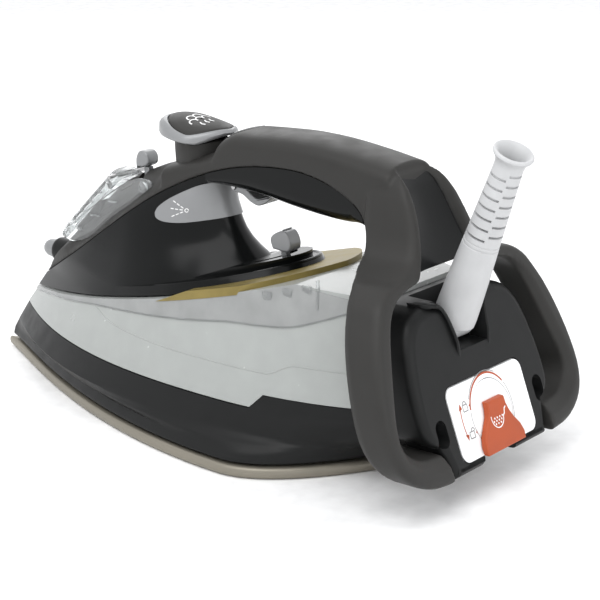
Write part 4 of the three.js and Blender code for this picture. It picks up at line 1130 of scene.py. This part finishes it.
def cover_lip():
    """The raised lip that follows the boot's slot from the cover's top corner."""
    track = spline([(25, 79.2), (20.6, 79.4), (16.8, 78), (14.2, 74), (12.6, 68), (11.6, 62), (11.2, 57)], 40)
    lips = []
    for sign in (-1, 1):
        rings = []
        for i, (u, v) in enumerate(track):
            du, dv = track[min(i + 1, len(track) - 1)] - track[max(i - 1, 0)]
            size = math.hypot(du, dv)
            nu, nv = -dv / size, du / size
            high = 1.7 * min(1.0, (len(track) - 1 - i) / 8, (i + 2) / 6)
            sink = 4 * max(0, 1 - i / 9) ** 2
            section = [(-0.9, -4.6), (-0.9, high - 0.5), (-0.4, high), (0.4, high), (0.9, high - 0.5),
                       (0.9, -4.6)]
            rings.append([on_heel(sign * (u + nu * a), v + nv * a, COVER_FACE - sink + w)
                          for a, w in section])
        lips.append(loft("lip", rings))
    piece(joined("cover_lip", lips), "satin_black")


def label():
    face = COVER_FACE + 0.2
    outline = rounded_box(-28.1, 17.5, 28.1, 47.3, 4.4, 8)
    plate = slab("label_plate_look", outline, COVER_FACE - 1.2, face, on_heel, 0.15, 2)
    combine(plate, disc_room(0.35))
    piece(plate, "white_plastic", stands_for=["label_plate"])
    lift = lambda u, v, w: on_heel(-u, v, w)
    orange, grey = [], []
    orange += stroke(arc(0, COLLECTOR_Z, 15.2, 38, 165, 48), 0.8)
    grey += stroke(arc(0, COLLECTOR_Z, 16.1, 60, 150, 40), 0.35)
    grey += stroke(arc(0, COLLECTOR_Z, 15.2, -38, 34, 30), 0.25)
    grey += stroke(arc(0, COLLECTOR_Z, 15.2, 169, 216, 20), 0.25)
    # double arrow beside two padlocks
    arrow_u, arrow_v, arrow_r = 2, 32.8, 24
    orange += stroke(arc(arrow_u, arrow_v, arrow_r, 167, 193, 16), 0.5)
    for angle, turn in ((165.5, 1), (194.5, -1)):
        a = math.radians(angle)
        u, v = arrow_u + arrow_r * math.cos(a), arrow_v + arrow_r * math.sin(a)
        tip = [(u - 1.2, v - 1.2 * turn), (u + 1.2, v - 0.9 * turn), (u + 0.2, v + 1.4 * turn)]
        orange.append(counter_clockwise(tip))
    for v, opened in ((38.2, False), (27.4, True)):
        u = -17.8
        grey += stroke(rounded_box(u - 1.6, v - 1.7, u + 1.6, v + 0.9, 0.2, 2), 0.4, closed=True)
        grey += stroke(arc(u + (1.0 if opened else 0), v + 1.1, 1.1, -10 if opened else 0, 180, 10), 0.4)
        orange.append([(u + 2.6, v - 0.2), (u + 3.6, v - 0.9), (u + 3.6, v + 0.5)])
    piece(marks("label_marks_orange", orange, lift, face, 0.06), "orange_plastic")
    piece(marks("label_marks_grey", grey, lift, face, 0.06), "white_plastic", look="mark_grey")


def collector():
    axis = heel_axis(0, COLLECTOR_Z)
    profile = [(0, -6.4), (COLLECTOR_R, -6.4), (COLLECTOR_R, -1.6), (COLLECTOR_R - 0.2, -1.42), (0, -1.4)]
    disc = turned("collector_disc_look", profile, axis, 72)
    piece(disc, "white_plastic", "scale_collector", stands_for=["collector_grip"])
    line = [(-6.4, 37.4), (6.4, 37.4), (6.6, 34.4), (7.6, 31.4), (10.6, 28), (13.6, 24.6), (14.8, 21),
            (14.6, 17.8), (-14.0, 17.8), (-14.4, 21), (-12.8, 24.6), (-9.8, 28), (-7.6, 31.4), (-6.6, 34.4)]
    grip = slab("collector_grip_look", line, -1.2, 1.7, on_heel, 0.7, 4)
    piece(softened(grip, 0.2, 2, 40), "orange_plastic", "scale_collector", stands_for=["collector_grip"])
    shapes = []
    for row in range(3):
        for k in range(5):
            u, v = -6.2 + k * 1.9 + (row % 2) * 0.95, 30.6 - row * 1.15
            if math.hypot(u + 2.2, (v - 30.8) * 1.25) < 4.0:
                shapes.append([(u - 0.5, v), (u, v - 0.5), (u + 0.5, v), (u, v + 0.5)])
    shapes += stroke(arc(-2.2, 31.0, 4.4, 168, 350, 24), 0.4)
    shapes += stroke([(2.1, 30.2), (3.2, 31.0), (4.0, 32.8), (5.2, 33.4)], 0.5)
    mirror = lambda u, v, w: on_heel(-u, v, w)
    white_marks("collector_marks", shapes, mirror, 1.68, "scale_collector", 0.1)


def boot_place(a, b, h):
    c, s = math.cos(BOOT_LEAN), math.sin(BOOT_LEAN)
    return (BOOT_PIVOT[0] + a, BOOT_PIVOT[1] + b * c + h * s, BOOT_PIVOT[2] - b * s + h * c)


def cord_boot():
    wall = [(4.5, 3), (9.2, 3), (9.3, 6), (9.1, 14), (8.7, 24), (8.25, 33), (7.95, 39), (7.9, 39.5),
            (7.6, 39.7), (7.6, 40.1), (7.85, 40.3), (7.8, 41.2), (7.5, 41.4), (7.5, 41.8), (7.75, 42),
            (7.1, 56), (6.5, 70), (6.25, 76.4), (6.5, 78.6), (7.3, 80.1), (8.4, 81.3), (8.8, 82.0),
            (8.7, 82.8), (8.2, 83.3), (7.4, 83.1), (6.4, 82.0), (5.5, 80.2), (5.1, 77.8), (4.8, 66), (4.5, 3)]
    dip = lambda a, b, h: boot_place(a, b, h - max(h - 74, 0) / 10 * 0.13 * (a * 0.78 + b * 0.62))
    boot = turned("cord_boot_look", wall, dip, 64)
    cuts = []
    for row in range(7):
        for column in range(4):
            height = 44.6 + row * 4.6 + (2.3 if column % 2 else 0)
            centre = -6 + 90 * column
            points = []
            for r, sweep in ((5.6, np.linspace(-41, 41, 11)), (10.5, np.linspace(41, -41, 11))):
                angles = [math.radians(centre + a) for a in sweep]
                points += [(r * math.cos(a), r * math.sin(a)) for a in angles]
            cuts.append(slab("cut", points, height - 0.55, height + 0.55, boot_place, 0.05, 1))
    combine(boot, joined("cuts", cuts))
    barrel = turned("barrel", [(0, -8.4), (5.2, -8.4), (5.9, -7.6), (5.9, 7.6), (5.2, 8.4), (0, 8.4)],
                    lambda a, b, h: boot_place(h, a, b), 40)
    boot = joined("cord_boot_look", [boot, barrel])
    piece(boot, "boot_rubber", "cord_boot", stands_for=["cord_boot"])


# ---- Assembly ----
camera()
studio()
for node in frame["record"]["subparts"]:
    shown = frame["nodes"][node["node"]]
    shown.data.materials.clear()
    shown.data.materials.append(LOOKS[node["material_slot"]])

soleplate()
skirt()
tank()
tank_line("tank_line", [(-58, 49.4), (-52.8, 46.8), (-35.6, 43.6), (-2, 42.3), (31, 42.4), (58, 42.6),
                        (64, 43.2), (72, 47.2), (76, 48), (86.8, 48.1), (104, 48.1)], 0.4, "tank_smoke")
tank_band()
dial_clips()
gold_plate()
upper_shell()
platform_rim()
collar()
handle()
grip_underside()
rear_panel()
boost_button()
boost_marks()
status_lens()
steam_control()
filler_door()
door_cheeks()
nozzle()
trigger()
dial_lever()
spray_marks()
cover()
cover_lip()
label()
collector()
cord_boot()
